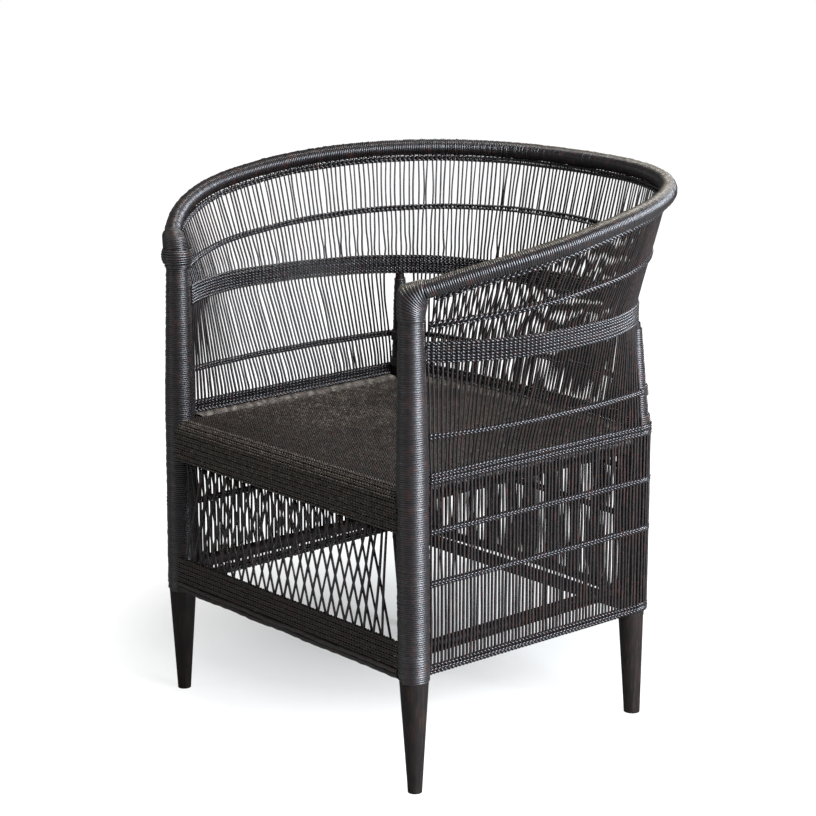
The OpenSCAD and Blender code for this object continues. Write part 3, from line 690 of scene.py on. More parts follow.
# %% [markdown]
# ## Windings
# Posts, rail and the edges of the seat are bound with flat cane, wound turn beside turn so
# that the core is hidden. A screw modifier makes a helix, but not one whose core tapers,
# bends with the rail and whose turns sit a little unevenly. Here the skin of the winding
# is one grid that climbs with the strand. Across a turn, from x = -1 to 1, it stands
# GROOVE + CROWN * sqrt(1 - |x|^2.4) of its thickness out, which is flatter than round.

# %% Winding
TURN_ACROSS = np.array([-0.5, -0.42, -0.18, 0.18, 0.42])
CROWN, GROOVE = 0.85, 0.15
UNEVEN_STAND, UNEVEN_GAP = 0.13, 0.10


def winding(name, axis_at, out_at, radius_at, length, pitch, thick, around_steps, material,
            slot, nodes, fade_at=None, slant=0.0):
    """Cane wound round an axis: point = axis + r (out cos a + side sin a), while s climbs.

    axis_at(s), out_at(s) give middle and a vector across it, radius_at(s) the radius of the
    core, for the distance s along the axis. A slant moves s by slant * sin a."""
    turns = int(length / pitch)
    k = np.arange(turns * around_steps + 1)
    angle = 2 * np.pi * k / around_steps
    t, knots = k / around_steps, np.arange(turns + 3)
    stand_noise = rng.normal(0, 1, turns + 3)
    gap_noise = np.cumsum(rng.normal(0, UNEVEN_GAP, turns + 3))
    gap_noise -= np.linspace(0, gap_noise[-1], turns + 3)
    centre = (t + 0.5 + np.interp(t, knots, gap_noise.clip(-0.8, 0.8))) * pitch
    centre = centre.clip(pitch / 2, length - pitch / 2)
    s = centre[:, None] + TURN_ACROSS[None] * pitch + slant * np.sin(angle)[:, None]
    s = s.clip(0, length)
    bulge = np.sqrt(np.maximum(1 - (2 * np.abs(TURN_ACROSS)) ** 2.4, 0.0))
    stand = np.interp(t, knots, stand_noise) * UNEVEN_STAND * thick
    r = radius_at(s) + (thick * CROWN) * bulge[None] + GROOVE * thick + stand[:, None]
    middle = axis_at(s)
    along = unit(axis_at(s + 0.5) - axis_at(s - 0.5))
    side = unit(np.cross(along, out_at(s)))
    out = np.cross(side, along)
    points = middle + r[..., None] * (out * np.cos(angle)[:, None, None]
                                      + side * np.sin(angle)[:, None, None])
    grid = np.arange(len(k) * 5).reshape(len(k), 5)
    a, b = grid[:-1], grid[1:]
    turn_faces = np.stack([a[:, :-1], a[:, 1:], b[:, 1:], b[:, :-1]], -1).reshape(-1, 4)
    low, high = grid[:-around_steps, 4], grid[around_steps:, 0]
    seam = np.stack([low[:-1], high[:-1], high[1:], low[1:]], -1)
    mean_r = float(radius_at(np.array([length / 2]))[0]) + thick
    number = np.interp(t, knots, rng.random(turns + 3))
    lay = np.stack(np.broadcast_arrays((angle * mean_r)[:, None], (TURN_ACROSS * pitch)[None],
                                       number[:, None]), -1)
    fade = 0.0 if fade_at is None else fade_at(points, unit(points - middle))
    return build(name, points, [turn_faces, seam], lay, fade, material, slot, *nodes)


def straight(start, end):
    """Axis function of a straight core: start + s * (end - start) / length."""
    start, end = np.array(start, float), np.array(end, float)
    along = (end - start) / np.linalg.norm(end - start)
    return lambda s: start + np.asarray(s, float)[..., None] * along


print("a turn's crown stands", CROWN + GROOVE, "of its thickness out, its groove", GROOVE)

# %% [markdown]
# ## Bound posts
# The front posts are bound from above their bare, tapered feet up to the elbows, the rear
# posts only where they lean out, from the seat to the pointed tips. The cores could be
# read off the CAD meshes, but a straight axis and a radius for each height say the same
# in two lines, and the turns then lie on them exactly.

# %% Bindings of the front posts
X_AXIS, Y_AXIS, Z_AXIS = np.eye(3)
SIDES = (("left", -1), ("right", 1))
FOOT_X, TOP_X = 259.0, 250.5
FOOT_R, POST_R, TOP_R = 9.5, 19.5, 14.5
POST_TOP_Z = 654.0
BINDING_Z, THICK_Z, TOP_BINDING_Z = 154.0, 440.0, 640.0


def front_x(z):
    """Middle of a front post at height z, on a straight line from foot to top."""
    return FOOT_X + (TOP_X - FOOT_X) * np.asarray(z, float) / POST_TOP_Z


def front_r(z):
    """Radius of a front post: it swells up to the binding, stays, and narrows above."""
    return np.interp(z, [0, BINDING_Z, THICK_Z, POST_TOP_Z], [FOOT_R, POST_R, POST_R, TOP_R])


for side, sign in SIDES:
    foot = (sign * front_x(BINDING_Z), 0, BINDING_Z)
    top = (sign * front_x(TOP_BINDING_Z), 0, TOP_BINDING_Z)
    winding(f"binding of the front post, {side}", straight(foot, top), lambda s: -Y_AXIS,
            lambda s: front_r(BINDING_Z + s), TOP_BINDING_Z - BINDING_Z, pitch=2.95,
            thick=1.95, around_steps=36, material=bound_cane, slot="binding_cane",
            nodes=[f"front_post_binding_{side}"])

# %% Bindings of the rear posts
REAR_BIND_Z = 433.0
REAR_R, REAR_TIP_R = 17.3, 6.5
REAR_TIP = wall_line((CORNER_F0 + CORNER_F1) / 2, WAIST_LOW) + [0, 0, 0.7]
BARE_TIP = 7


def rear_core(share):
    """Radius of a rear post's leaning length, a straight taper with the share of it."""
    return REAR_R + (REAR_TIP_R - REAR_R) * share


for side, sign in SIDES:
    foot = np.array([sign * REAR_X, REAR_Y, REAR_BIND_Z])
    head = REAR_TIP * [sign, 1, 1]
    lean_len = float(np.linalg.norm(head - foot))
    winding(f"binding of the rear post, {side}", straight(foot, head), lambda s: -Y_AXIS,
            lambda s, n=lean_len: rear_core(s / n), lean_len - BARE_TIP, pitch=2.9, thick=1.9,
            around_steps=28, material=bound_cane, slot="binding_cane",
            nodes=[f"rear_post_binding_{side}"])

# %% [markdown]
# ## Rail
# The top rail is one rod, bent round arms and back and bound from end to end. It could
# be a curve object, but the stakes end on it, so it keeps the formula of the wall. A
# table of its points gives any place by its distance along the rail.

# %% Binding of the rail
RAIL_CORE_R = 10.4
RAIL_BIND_FROM = 20.0
table_u = np.linspace(0, 2, 1601)
RAIL_POINTS = rail_at(np.where(table_u > 1, 2 - table_u, table_u))
RAIL_POINTS[table_u > 1, 0] *= -1
rail_steps = np.linalg.norm(np.diff(RAIL_POINTS, axis=0), axis=1)
RAIL_RUN = np.concatenate([[0], np.cumsum(rail_steps)])


def rail_axis(s):
    """Middle of the rail the distance s from its right front end, straight on past it."""
    s = np.asarray(s, float)
    p = np.stack([np.interp(s, RAIL_RUN, RAIL_POINTS[:, k]) for k in range(3)], -1)
    start = unit(RAIL_POINTS[0] - RAIL_POINTS[1])
    end = unit(RAIL_POINTS[-1] - RAIL_POINTS[-2])
    return (p + np.maximum(-s, 0)[..., None] * start
            + np.maximum(s - RAIL_RUN[-1], 0)[..., None] * end)


def bleach_and_painted_light_on_top(points, out):
    """Paler on faces that look up, and most on the right arm: partly sun bleaching and
    partly painted light, laid on the tops and on the right arm, towards the window.
    """
    # Painted light: the right arm, on the side of the window, is painted paler than the left.
    arm = np.interp(points[..., 0], [-200, 150], [0.05, 0.85])
    return arm * ((out[..., 2] - 0.76) / 0.2).clip(0, 1)


winding("binding of the rail", lambda s: rail_axis(s + RAIL_BIND_FROM), lambda s: Z_AXIS,
        lambda s: RAIL_CORE_R + 0 * s, float(RAIL_RUN[-1]) - 2 * RAIL_BIND_FROM, pitch=3.0,
        thick=1.95, around_steps=24, material=rail_cane, slot="binding_cane",
        nodes=["top_rail_binding"], fade_at=bleach_and_painted_light_on_top)

# %% [markdown]
# ## Lashings
# Where twined rows meet a rear post, a few turns of cane tie them to it. Turns this few
# need no winding: each is a ring of cane that closes on itself, laid round the post's
# leaning axis, which looks the same because its end is tucked under.

# %% Lashings of the rear posts
TIE_PITCH, TIE_OUT = 3.0, 2.9
ARM_TIES = 472.5 + TIE_PITCH * np.arange(5)
SEAT_TIES = 433.0 + TIE_PITCH * np.arange(4)


def rings(centres, normals, radii, stations=30):
    """Turns round an axis: centre + radius (cos a e1 + sin a e2), both across its normal."""
    a = np.linspace(0, 2 * np.pi, stations)[None, :, None]
    e1 = unit(np.cross(normals, X_AXIS))[:, None]
    e2 = unit(np.cross(normals[:, None], e1))
    out = np.cos(a) * e1 + np.sin(a) * e2
    return centres[:, None] + radii[:, None, None] * out, out


def share_of_lean(z):
    """0 at the foot of the leaning length and 1 at its tip."""
    return (np.asarray(z, float) - REAR_BIND_Z) / (REAR_TIP[2] - REAR_BIND_Z)


def rear_axis_at(sign, z):
    """Middle of a rear post's leaning length at height z: foot + share * (head - foot)."""
    foot = np.array([sign * REAR_X, REAR_Y, REAR_BIND_Z])
    return foot + (REAR_TIP * [sign, 1, 1] - foot) * share_of_lean(z)[..., None]


for side, sign in SIDES:
    z = np.concatenate([ARM_TIES, SEAT_TIES])
    centres = rear_axis_at(sign, z)
    axis = unit(rear_axis_at(sign, 500.0) - rear_axis_at(sign, 440.0))
    ring_paths, ring_out = rings(centres, np.broadcast_to(axis, centres.shape),
                                 rear_core(share_of_lean(z)) + TIE_OUT)
    lay_strands(f"lashing of the rear post, {side}", ring_paths, ring_out,
                section(6, 3.0, 2.6), bound_cane, "binding_cane", [], fade=0.12)

# %% [markdown]
# ## Elbows
# Where the rail comes down on a front post the binding turns the corner. Each turn runs
# from the crotch under the rail to the outside: level at the post, then ever steeper, and
# the turns fan out on the outside of the bend. A wrapped sphere would hide the core but
# not show the fan. So each turn is a loop of its own in a plane that tilts from turn to
# turn, and the turns are spaced evenly where they show, at their outer ends.

# %% Turns of an elbow
RAIL_SLOPE = 0.29
WRAPPED_POST_R, WRAPPED_RAIL_R = 16.9, 13.0
ELBOW_LOW = 634.0
ELBOW_TURNS = 28
rail_start = rail_axis(np.array([6.0, RAIL_BIND_FROM + 2.0]))
TOWARDS_RAIL = unit((rail_start[1] - rail_start[0]) * [1, 1, 0])
ACROSS_RAIL = np.cross(TOWARDS_RAIL, Z_AXIS)
FROM_POST = rail_axis(np.array(RAIL_BIND_FROM)) - [front_x(POST_TOP_Z), 0, 0]
RAIL_U, RAIL_V = float(FROM_POST @ TOWARDS_RAIL), float(FROM_POST @ ACROSS_RAIL)
RAIL_Z = float(FROM_POST[2])


def elbow_turns(t):
    """Turns at t from 0 (post) to 1 (rail): inner end (u, z), tilt and length.

    u runs level from the post's axis towards the rail and grows with t, z with t^0.8 and
    tilt with t^0.55. The outer ends lie on the far side of the post and the top line of
    the rail; their corner is (a^-8 + b^-8)^(-1/8)."""
    lean = np.arctan(RAIL_SLOPE)
    tilt = (np.pi / 2 - lean) * t**0.55
    u = WRAPPED_POST_R + (RAIL_U + WRAPPED_RAIL_R * np.sin(lean) - WRAPPED_POST_R) * t
    z = ELBOW_LOW + (RAIL_Z - WRAPPED_RAIL_R * np.cos(lean) - ELBOW_LOW) * t**0.8
    top = RAIL_Z + WRAPPED_RAIL_R / np.cos(lean) + RAIL_SLOPE * (u - RAIL_U)
    to_far_side = (u + WRAPPED_POST_R) / np.cos(tilt)
    to_top = (top - z) / (np.sin(tilt) + RAIL_SLOPE * np.cos(tilt))
    return u, z, tilt, (to_far_side**-8.0 + to_top**-8.0) ** (-1 / 8)


def even_turns(count):
    """Values of t that space the outer ends of the turns evenly, read from their run."""
    t = np.linspace(0.0, 1.0, 400)
    u, z, tilt, reach = elbow_turns(t)
    ends = np.stack([u - reach * np.cos(tilt), z + reach * np.sin(tilt)])
    run = np.concatenate([[0], np.cumsum(np.hypot(*np.diff(ends)))])
    return np.interp(np.linspace(0, run[-1], count), run, t)


print("the rail leaves the post", round(float(RAIL_U), 1), "mm from its axis")

# %% Elbows
# Every second turn is laid 1 mm wider, so that neighbours don't run into one another.
WIDER = 1.0
SQUARENESS = 2.2
LOOP_STATIONS = 45
PALE_TOP_DEPTH = 5
ELBOW_AXES = np.stack([TOWARDS_RAIL, ACROSS_RAIL, Z_AXIS])
POST_AXIS = np.array([front_x(POST_TOP_Z), 0, 0])


def elbow_loops():
    """Loops round the elbow: superellipses in (reach, width), each in its tilted plane.

    Returns the loops and their middles, as (towards the rail, across it, up)."""
    t = even_turns(ELBOW_TURNS)
    u, z, tilt, reach = elbow_turns(t)
    half_wide = (WRAPPED_POST_R + (WRAPPED_RAIL_R - WRAPPED_POST_R) * t**1.5
                 + WIDER * (np.arange(len(t)) % 2))
    a = np.linspace(0, 2 * np.pi, LOOP_STATIONS)[None]
    c, d = (np.sign(w) * np.abs(w) ** (2 / SQUARENESS) for w in (np.cos(a), np.sin(a)))
    inward = (reach / 2)[:, None] * (1 - c) + 0.25 * rng.normal(0, 1, (len(t), 1))
    loops = np.stack([u[:, None] - inward * np.cos(tilt)[:, None],
                      (RAIL_V * t)[:, None] + half_wide[:, None] * d,
                      z[:, None] + inward * np.sin(tilt)[:, None]], -1)
    middles = np.stack([u - reach / 2 * np.cos(tilt), RAIL_V * t,
                        z + reach / 2 * np.sin(tilt)], -1)
    return loops, middles


for side, sign in SIDES:
    local, middles = elbow_loops()
    mirror = np.array([sign, 1.0, 1.0])
    loops = (local @ ELBOW_AXES + POST_AXIS) * mirror
    out = unit(loops - ((middles @ ELBOW_AXES + POST_AXIS) * mirror)[:, None])
    rail_line = RAIL_Z + RAIL_SLOPE * (local[..., 0] - RAIL_U)
    # Paler tops of the turns, partly bleaching and partly painted light; the right elbow,
    # towards the window, is painted far paler than the left.
    on_top = ((local[..., 2] - rail_line - PALE_TOP_DEPTH) / PALE_TOP_DEPTH).clip(0, 1)
    bleached_and_lit = 0.35 + 0.3 * sign
    lay_strands(f"elbow of rail and post, {side}", loops, out, section(6, 3.3, 2.4), bound_cane,
                "binding_cane", [f"rail_lashing_{side}"], fade=bleached_and_lit * on_top)

# %% [markdown]
# ## Collar
# The left post has a thick tie of six turns under its elbow, widest in the middle. One
# swollen winding could show it, but its turns are as thick as cords and lie level, so
# they are rings: radius = COLLAR_R + COLLAR_SWELL * sin of the share of its height.

# %% Collar of the left front post
COLLAR_R, COLLAR_SWELL = 18.3, 3.4
COLLAR_LOW, COLLAR_HIGH = 638, 662
z = np.array([641.0, 644.5, 648.0, 651.5, 655.0, 658.0])
centres = np.stack([-front_x(z), 0 * z - 0.5, z], -1)
share = (z - COLLAR_LOW) / (COLLAR_HIGH - COLLAR_LOW)
collar_r = COLLAR_R + COLLAR_SWELL * np.sin(share * np.pi)
ring_paths, ring_out = rings(centres, np.broadcast_to(Z_AXIS, centres.shape), collar_r, 34)
lay_strands("collar of the left front post", ring_paths, ring_out, section(6, 3.9, 3.3),
            bound_cane, "binding_cane", [])

# %% [markdown]
# ## Seat
# The seat is rows of paired strands, twined from side to side over canes that run from
# back to front, then rolled over the front rail and down as an apron. A cloth grid with a
# woven bump would be lighter, but the rows show as ridges at the roll. So the rows are
# laid along a section of the seat: distance s runs forward over the flat seat, round the
# roll and down. A strand swings through the sheet by cos a while it climbs by sin a, with
# a growing by pi at each cane.

# %% Shape of the seat
SEAT_Z = 413.0
SEAT_PITCH = 5.5
ROW_STEP = 3.6
ROLL_Z, ROLL_R = 394.7, 18.3
ROLL_ARC = np.pi / 2 * ROLL_R
SEAT_HALF = 233.5
CLEAR_OF_POST, CLEAR_OF_REAR_POST = 21.2, 22.0
EDGE_GAP, EDGE_WIDE = 0.6, 27.0
BEHIND_SEAT = STAKE_R + EDGE_GAP + EDGE_WIDE + 3.5


def sheet_profile(s):
    """Section of the seat: s runs forward over the flat seat, round the roll, then down.

    Returns (y, z) of the face and the (y, z) of its outward vector."""
    a = (s / ROLL_R).clip(0, np.pi / 2)
    y = np.where(s < 0, -s, -ROLL_R * np.sin(a))
    z = np.where(s < 0, SEAT_Z, ROLL_Z + ROLL_R * np.cos(a) - (s - ROLL_ARC).clip(0))
    return np.stack([y, z], -1), np.stack([-np.sin(a), np.cos(a)], -1)


def seat_half_width(y, z):
    """Half the seat's width at y: up to the side rolls, the posts and the back roll.

    A post takes away sqrt(clearance^2 - distance^2) at each side, and the back roll is an
    arc of the wall's own centre."""
    rolled = np.interp(-y, [0, 4, 18.3], [SEAT_HALF, 231.0, 231.5])
    half = np.where(y > 0, SEAT_HALF, rolled)
    to_post = front_x(z) - np.sqrt((CLEAR_OF_POST**2 - y**2).clip(0)) - 0.5
    half = np.where(np.abs(y) < 23, to_post, half)
    to_rear = REAR_X - np.sqrt((CLEAR_OF_REAR_POST**2 - (y - REAR_Y) ** 2).clip(0))
    half = np.where(np.abs(y - REAR_Y) < CLEAR_OF_REAR_POST, to_rear, half)
    reach = np.sqrt(((BACK_R - BEHIND_SEAT) ** 2 - (y - BACK_Y) ** 2).clip(0))
    return np.minimum(half, reach).clip(2)


print("the seat is", round(2 * SEAT_HALF), "mm wide at", SEAT_Z, "mm")

# %% Rows of a woven sheet
SHEET_HALF = 250.0
CLIMB = 0.55


def twined_sheet(name, rows_s, profile, half_at, strand_r, material, slot, nodes,
                 fade_at, per_cane=4, sides=6, swing=1.6, raised=1.4):
    """Twined rows across a sheet: strands swing through it by swing * cos(a), climb by
    CLIMB * strand_r * sin(a) and cross between the canes. rows_s places the rows."""
    canes = int(2 * SHEET_HALF / SEAT_PITCH)
    q = np.arange(-canes / 2, canes / 2 + 1e-6, 1 / per_cane)
    yz, out = profile(rows_s)
    half = half_at(yz[:, 0], yz[:, 1])
    x = (q * SEAT_PITCH)[None].clip(-half[:, None], half[:, None])
    row = np.arange(len(rows_s))[:, None]
    wander = (0.16 * np.sin(x * 0.05 + row * 1.7) + 0.12 * np.sin(x * 0.013 + row * 0.9)
              + rng.normal(0, 0.07, x.shape))
    hand = np.where(row % 2, 1.0, -1.0)
    paths = []
    for phase in (0, np.pi):
        a = np.pi * x / SEAT_PITCH + phase
        h = swing * np.cos(a) - swing - strand_r + raised
        v = hand * CLIMB * strand_r * np.sin(a) + wander
        y = yz[:, None, 0] + out[:, None, 0] * h + out[:, None, 1] * v
        z = yz[:, None, 1] + out[:, None, 1] * h - out[:, None, 0] * v
        paths.append(np.stack([x, y, z], -1))
    paths = np.concatenate(paths)
    normals = np.concatenate([np.zeros((len(rows_s), 1)), out], 1)[:, None]
    normals = np.broadcast_to(np.concatenate([normals, normals]), paths.shape)
    crest = 0.5 + 0.5 * np.cos(np.pi * x / SEAT_PITCH)
    crests = np.concatenate([crest, 1 - crest])
    rubs = 0.6 * rng.normal(0, 1, paths.shape[:2]).clip(-0.6, 2)
    fade = (fade_at(paths) * crests**2 * (1.1 + 1.6 * rubs)).clip(0, 1)
    return lay_strands(name, paths, normals, section(sides, 2.1 * strand_r, 1.9 * strand_r),
                       material, slot, nodes, fade=fade)


print("a row crosses", int(2 * SHEET_HALF / SEAT_PITCH), "canes in a width of",
      2 * SHEET_HALF, "mm")

# %% Seat and apron
SEAT_STRAND_R = 1.35
APRON_HIGH = 41.0
APRON_FADE, PANEL_FADE = 0.32, 0.12


def seat_wear(paths):
    """Bleached towards the side rolls and in soft patches of the flat seat."""
    x, y = paths[..., 0], paths[..., 1]
    back = (y / 150).clip(0, 1)
    edge = ((np.abs(x) - 140) / 95).clip(0, 1) ** 2 * back
    patch = (0.5 + 0.5 * np.sin(x * 0.021 + 1) * np.sin(y * 0.017 + 2)
             + 0.5 * np.sin(x * 0.09 + 2 * np.sin(y * 0.05)) * np.sin(y * 0.11 + x * 0.04))
    return (0.05 + 0.24 * edge + (0.04 + 0.18 * patch) * back).clip(0, 1)


flat_rows = -np.arange(2.0, 424.0, ROW_STEP)[::-1]
front_rows = np.arange(ROW_STEP - 2.0, ROLL_ARC + APRON_HIGH, ROW_STEP)
third = len(flat_rows) // 3
for part, rows, nodes in (("rear", flat_rows[:third], ["seat_weave"]),
                          ("middle", flat_rows[third:2 * third], []),
                          ("front", flat_rows[2 * third:], [])):
    twined_sheet(f"woven seat, {part}", rows, sheet_profile, seat_half_width, SEAT_STRAND_R,
                 seat_cane, "seat_cane", nodes, seat_wear, per_cane=2, sides=5)
twined_sheet("woven apron", front_rows, sheet_profile, seat_half_width, SEAT_STRAND_R,
             panel_cane, "panel_cane", ["front_apron"], lambda paths: APRON_FADE)

# %% Canes under the weave
# They run from the back edge to the foot of the apron, UNDER_FACE below its face.
UNDER_FACE, SHORT_OF_BACK = 2.3, 36.0
cane_x = np.arange(-42, 43) * SEAT_PITCH
s = np.concatenate([-np.linspace(420, 6, 30), np.linspace(0, ROLL_ARC, 7),
                    ROLL_ARC + np.linspace(8, 40.5, 4)])
yz, out = sheet_profile(s)
yz = yz - out * UNDER_FACE
x = np.broadcast_to(cane_x[:, None], (len(cane_x), len(s)))
half = seat_half_width(yz[:, 0], yz[:, 1])
back_limit = np.sqrt((BACK_R - SHORT_OF_BACK) ** 2 - x**2) + BACK_Y
y, z = (np.broadcast_to(yz[None, :, k], x.shape) for k in (0, 1))
paths = np.stack([x.clip(-half, half), np.minimum(y, back_limit), z], -1)
normals = np.concatenate([np.zeros((len(s), 1)), out], 1)
lay_strands("canes under the seat weave", paths, np.broadcast_to(normals, paths.shape),
            section(5, 2.6, 2.4), seat_cane, "seat_cane", [])

# %% [markdown]
# ## Edges of the seat
# Along its sides and back the seat ends in a roll that is wrapped with broader cane, the
# turns slanting a little. It is the same winding as on the posts, round an axis that is
# straight at the sides and an arc at the back. Between roll and wall lies a twisted cord.

# %% Wrapped edges of the seat
ROLL_EDGE_Z = 403.5
SIDE_EDGE_R, BACK_EDGE_R = 11.7, 11.3
EDGE_TURN, EDGE_THICK, EDGE_SLANT = 5.2, 1.9, 6.0
EDGE_FRONT, EDGE_REAR = (245.27, 22.5), (249.8, 401.0)
EDGE_BACK_R = BACK_R - STAKE_R - EDGE_GAP - EDGE_WIDE / 2
EDGE_A = float(np.arccos((REAR_X - 12) / EDGE_BACK_R))


def edge_wear(points, out):
    """Rubbed on top, in some places more than in others, and little along the right side."""
    x, y = points[..., 0], points[..., 1]
    uneven = 0.5 + 0.5 * np.sin(y * 0.35 + x * 0.2) * np.sin(y * 0.083 + 1)
    less = np.where((x > 200) & (y < 380), 0.3, 1.0)
    return less * (0.1 + 0.8 * uneven**1.5) * (out[..., 2] * 1.3).clip(0, 1)


def back_edge_axis(s):
    """Arc of the rear edge, from right to left: the angle grows by s / radius."""
    a = EDGE_A + np.asarray(s, float) / EDGE_BACK_R
    return np.stack([EDGE_BACK_R * np.cos(a), BACK_Y + EDGE_BACK_R * np.sin(a),
                     ROLL_EDGE_Z + 0 * a], -1)


def wrapped_edge(side, axis_at, radius, length):
    """One edge of the seat, wound round axis_at."""
    winding(f"wrapped edge of the seat, {side}", axis_at, lambda s: Z_AXIS,
            lambda s: radius + 0 * s, length, EDGE_TURN, EDGE_THICK, around_steps=24,
            material=seat_cane, slot="seat_cane", nodes=[f"seat_edge_{side}"],
            fade_at=edge_wear, slant=EDGE_SLANT)


for side, sign in SIDES:
    start, end = (np.array([sign * x, y, ROLL_EDGE_Z]) for x, y in (EDGE_FRONT, EDGE_REAR))
    wrapped_edge(side, straight(start, end), SIDE_EDGE_R, float(np.linalg.norm(end - start)))
wrapped_edge("rear", back_edge_axis, BACK_EDGE_R, float((np.pi - 2 * EDGE_A) * EDGE_BACK_R))

# %% Cord along the edge
# Two strands, each CORD_TWIST (cos a, sin a) off a line that follows inside the wall.
CORD_Z, CORD_INSIDE, CORD_TWIST = 416.0, 5.0, 1.5
cord_q = np.arange(-0.2, 2 * STAKES - 0.8, TWINE_STEP)
cord_u = (cord_q + 0.5) / STAKES
p, n = around(cord_u, CORD_Z + 0 * cord_u)
cords = []
for phase in (0, np.pi):
    a = np.pi * cord_q + phase
    inside = CORD_INSIDE + CORD_TWIST * np.cos(a)
    cords.append(p - n * inside[:, None] + CORD_TWIST * Z_AXIS * np.sin(a)[:, None])
lay_strands("cord along the edge of the seat", np.array(cords),
            np.broadcast_to(n, (2, *n.shape)), section(6, 3.4, 3.4), twined_cane,
            "twined_cane", [])

# %% [markdown]
# ## Lower front panel
# Between the front posts, low down, hangs a narrow woven panel whose lower edge is rolled
# over a bar of three canes. It is the seat's weave stood upright, with deeper relief
# because nobody has sat it flat, so the same function lays it along another section.

# %% Woven panel
PANEL_Y = -18.3
PANEL_LOW, PANEL_HIGH = 171.5, 208.0
BINDING_T = 2.2
CANES_BEHIND = 4.0


def panel_profile(s):
    """Upright face of the lower panel: y = PANEL_Y and z = PANEL_HIGH - s, facing -Y."""
    yz = np.stack([np.full(len(s), PANEL_Y), PANEL_HIGH - s], -1)
    return yz, np.stack([-np.ones(len(s)), np.zeros(len(s))], -1)


def panel_half_width(y, z):
    """Half the panel's width: a post's middle less sqrt(bound radius^2 - y^2)."""
    return front_x(z) - np.sqrt((POST_R + BINDING_T) ** 2 - PANEL_Y**2)


panel_rows = np.arange(1.8, PANEL_HIGH - PANEL_LOW, ROW_STEP)
twined_sheet("woven lower panel", panel_rows, panel_profile, panel_half_width, 1.4,
             panel_cane, "panel_cane", ["front_lower_panel"], lambda paths: PANEL_FADE,
             swing=2.2, raised=0.0)
z = np.linspace(PANEL_LOW - 1, PANEL_HIGH + 1, 6)
paths = np.stack(np.broadcast_arrays(cane_x[:, None], PANEL_Y + CANES_BEHIND, z[None]), -1)
lay_strands("uprights of the lower panel", paths, -Y_AXIS, section(6, 2.6, 2.4),
            panel_cane, "panel_cane", [])

# %% Rolled lower edge of the panel
BAR_HALF, BAR_Z, BAR_CANE = 243.5, 163.7, 7.6
bar_x = np.linspace(-BAR_HALF, BAR_HALF, 240)
rolls = []
for k, (back, up) in enumerate(((-1.2, 3.9), (0.4, -3.4), (3.0, 2.0))):
    y = PANEL_Y + CANES_BEHIND + back + 0.5 * np.sin(bar_x * 0.06 + k * 2.1)
    z = BAR_Z + up + 0.5 * np.sin(bar_x * 0.045 + k * 1.3) + 0.25 * np.sin(bar_x * 0.21 + k)
    rolls.append(np.stack([bar_x, y, z], -1))
lay_strands("rolled edge of the panel", np.array(rolls), -Y_AXIS,
            section(10, BAR_CANE, BAR_CANE), panel_cane, "panel_cane", ["front_stretcher"],
            swell=1 + 0.05 * np.sin(bar_x * 0.31)[None])

# %% [markdown]
# ## Lattice
# Between apron and panel two layers of thin canes cross and leave open diamonds. Drawn
# on a card with holes they would have no thickness, so each is a strand: it runs
# LATTICE_RUN sideways on its way up, the layer behind runs the other way, and near the
# post the canes lean less, because their heads share what room is left.

# %% Lattice canes
LATTICE_HALF, LATTICE_PITCH, LATTICE_SHIFT = 229.8, 19, 2.7
LATTICE_LOW, LATTICE_HIGH = 206.5, 353.5
LATTICE_RUN = 45.648
LATTICE_CANE = 3.3
x0 = np.arange(-12, 13) * LATTICE_PITCH + LATTICE_SHIFT
x0 = x0[np.abs(x0) < LATTICE_HALF]
x1 = np.where(x0 < LATTICE_HALF - 2 * LATTICE_RUN, x0 + LATTICE_RUN, (x0 + LATTICE_HALF) / 2)
for name, sign, y, node in (("front", 1, -16.0, "lattice_front_canes"),
                            ("rear", -1, -12.6, "lattice_rear_canes")):
    t = np.linspace(0, 1, 12)[None]
    bow = rng.normal(0, 1.0, (len(x0), 1)) * np.sin(np.pi * t)
    foot, head = (rng.normal(0, 0.7, (len(x0), 1)) for _ in range(2))
    x = x0[:, None] + foot + (x1[:, None] + head - x0[:, None] - foot) * t + bow
    z = LATTICE_LOW + (LATTICE_HIGH - LATTICE_LOW) * t + 0 * x
    paths = np.stack([sign * x, y + 0 * x, z], -1)
    thick = (1 + 0.06 * rng.normal(0, 1, (len(x0), 1))).clip(0.88, 1.1)
    lay_strands(f"lattice canes, {name}", paths, -Y_AXIS,
                section(8, LATTICE_CANE, LATTICE_CANE), panel_cane, "panel_cane", [node],
                swell=thick)

# %% [markdown]
# ## Floor and white ground
# The chair stands on white. A floor that is lit to white would glare on the chair from
# below, so the floor is a mid grey for the lamps, and only rays from the camera see it
# glow white. The glow dims round DIM_FROM, on the side away from the window, where the
# chair keeps light off the ground. A picture could do it, but four stops of a ramp do.

# %% Floor
FLOOR_HALF = 6.0
DIM_FROM = (-0.3, 0.16, 0.0)
corners = [(-FLOOR_HALF, -FLOOR_HALF, 0), (FLOOR_HALF, -FLOOR_HALF, 0),
           (FLOOR_HALF, FLOOR_HALF, 0), (-FLOOR_HALF, FLOOR_HALF, 0)]
floor_mesh = bpy.data.meshes.new("floor")
floor_mesh.from_pydata(corners, [], [(0, 1, 2, 3)])
floor = bpy.data.objects.new("floor", floor_mesh)
bpy.context.scene.collection.objects.link(floor)
material, tree, shader = start_material("pale floor")
shader.inputs["Base Color"].default_value = (0.26, 0.26, 0.25, 1)
shader.inputs["Roughness"].default_value = 0.9
shader.inputs["Specular IOR Level"].default_value = 0.1
shader.inputs["Emission Color"].default_value = (1, 1, 1, 1)
rays = put(tree, "LightPath")
place = put(tree, "TexCoord").outputs["Object"]
away = put(tree, "VectorMath", {0: place, 1: DIM_FROM}, operation="DISTANCE").outputs["Value"]
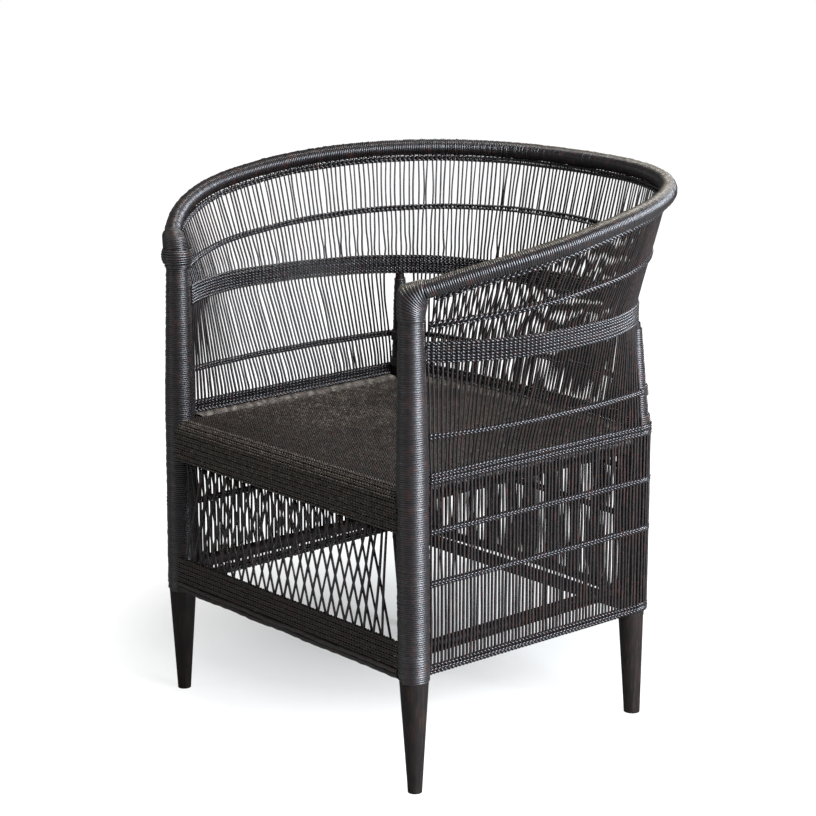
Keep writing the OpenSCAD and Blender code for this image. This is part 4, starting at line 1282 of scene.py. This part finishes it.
brightness = put(tree, "ValToRGB", {"Fac": away},
                 stops=((0.15, 0.4), (0.32, 0.6), (0.48, 0.92), (0.75, 1.0))).outputs["Color"]
glow = put(tree, "Math", {0: rays.outputs["Is Camera Ray"], 1: brightness},
           operation="MULTIPLY").outputs[0]
tree.links.new(glow, shader.inputs["Emission Strength"])
floor_mesh.materials.append(material)
print("floor", 2 * FLOOR_HALF, "m wide")

# %% World
WORLD_LIGHT = 0.16
world = bpy.data.worlds.new("studio")
bpy.context.scene.world = world
world.use_nodes = True
tree = world.node_tree
tree.nodes.clear()
rays = put(tree, "LightPath")
seen = put(tree, "Background", {"Color": (1, 1, 1, 1), "Strength": 1.0})
lit = put(tree, "Background", {"Color": (0.93, 0.96, 1.0, 1), "Strength": WORLD_LIGHT})
choice = put(tree, "MixShader", {0: rays.outputs["Is Camera Ray"], 1: lit.outputs[0],
                                 2: seen.outputs[0]})
put(tree, "OutputWorld", {0: choice.outputs[0]})
print("the camera sees a white world that lights at", WORLD_LIGHT)

# %% [markdown]
# ## Light and camera
# One broad, cool window from the right gives the posts their long highlights, and three
# weak lamps keep the dark cane readable elsewhere. Area lamps are used because their
# size, not a blur, makes the highlight soft. A long lens keeps the uprights parallel.

# %% Lights
def turned_to(direction):
    """Turns about x, y and z of a lamp or camera that looks along direction.

    azimuth = atan2(y, x), tilt = atan2(level length, -z)."""
    azimuth = np.arctan2(direction[1], direction[0])
    tilt = np.arctan2(np.hypot(direction[0], direction[1]), -direction[2])
    return float(tilt), 0, float(azimuth - np.pi / 2)


def soft_light(name, place, aim, size, power, colour=(1, 1, 1)):
    """Square area light at place, turned to look at aim."""
    data = bpy.data.lights.new(name, "AREA")
    data.energy, data.size, data.color = power, size, colour
    obj = bpy.data.objects.new(name, data)
    obj.location = place
    obj.rotation_euler = turned_to(np.array(aim, float) - np.array(place, float))
    bpy.context.scene.collection.objects.link(obj)
    print(f"{name}: {power} W, {size} m")


COOL = (0.82, 0.89, 1.0)
PALE = (0.92, 0.95, 1.0)
soft_light("window", (2.85, 0.35, 1.5), (0, 0, 0.45), 1.5, 300, COOL)
soft_light("ceiling", (0.2, 0.1, 3.0), (0, 0, 0.4), 0.7, 40)
soft_light("fill", (-1.2, -2.9, 1.5), (0, 0, 0.3), 1.6, 12)
soft_light("back fill", (-1.0, 2.9, 1.6), (0, 0, 0.4), 1.4, 26, PALE)

# %% Camera
CAMERA_AT = (2.3724, -2.1234, 1.2110)
CAMERA_LOOK = np.array([-0.7311, 0.6395, -0.2379])
camera_data = bpy.data.cameras.new("camera")
camera_data.lens, camera_data.sensor_width = 101.04, 36.0
camera = bpy.data.objects.new("camera", camera_data)
camera.location = CAMERA_AT
camera.rotation_euler = turned_to(CAMERA_LOOK)
bpy.context.scene.collection.objects.link(camera)
bpy.context.scene.camera = camera
bpy.context.scene.view_settings.view_transform = "Standard"
print("camera at", CAMERA_AT)
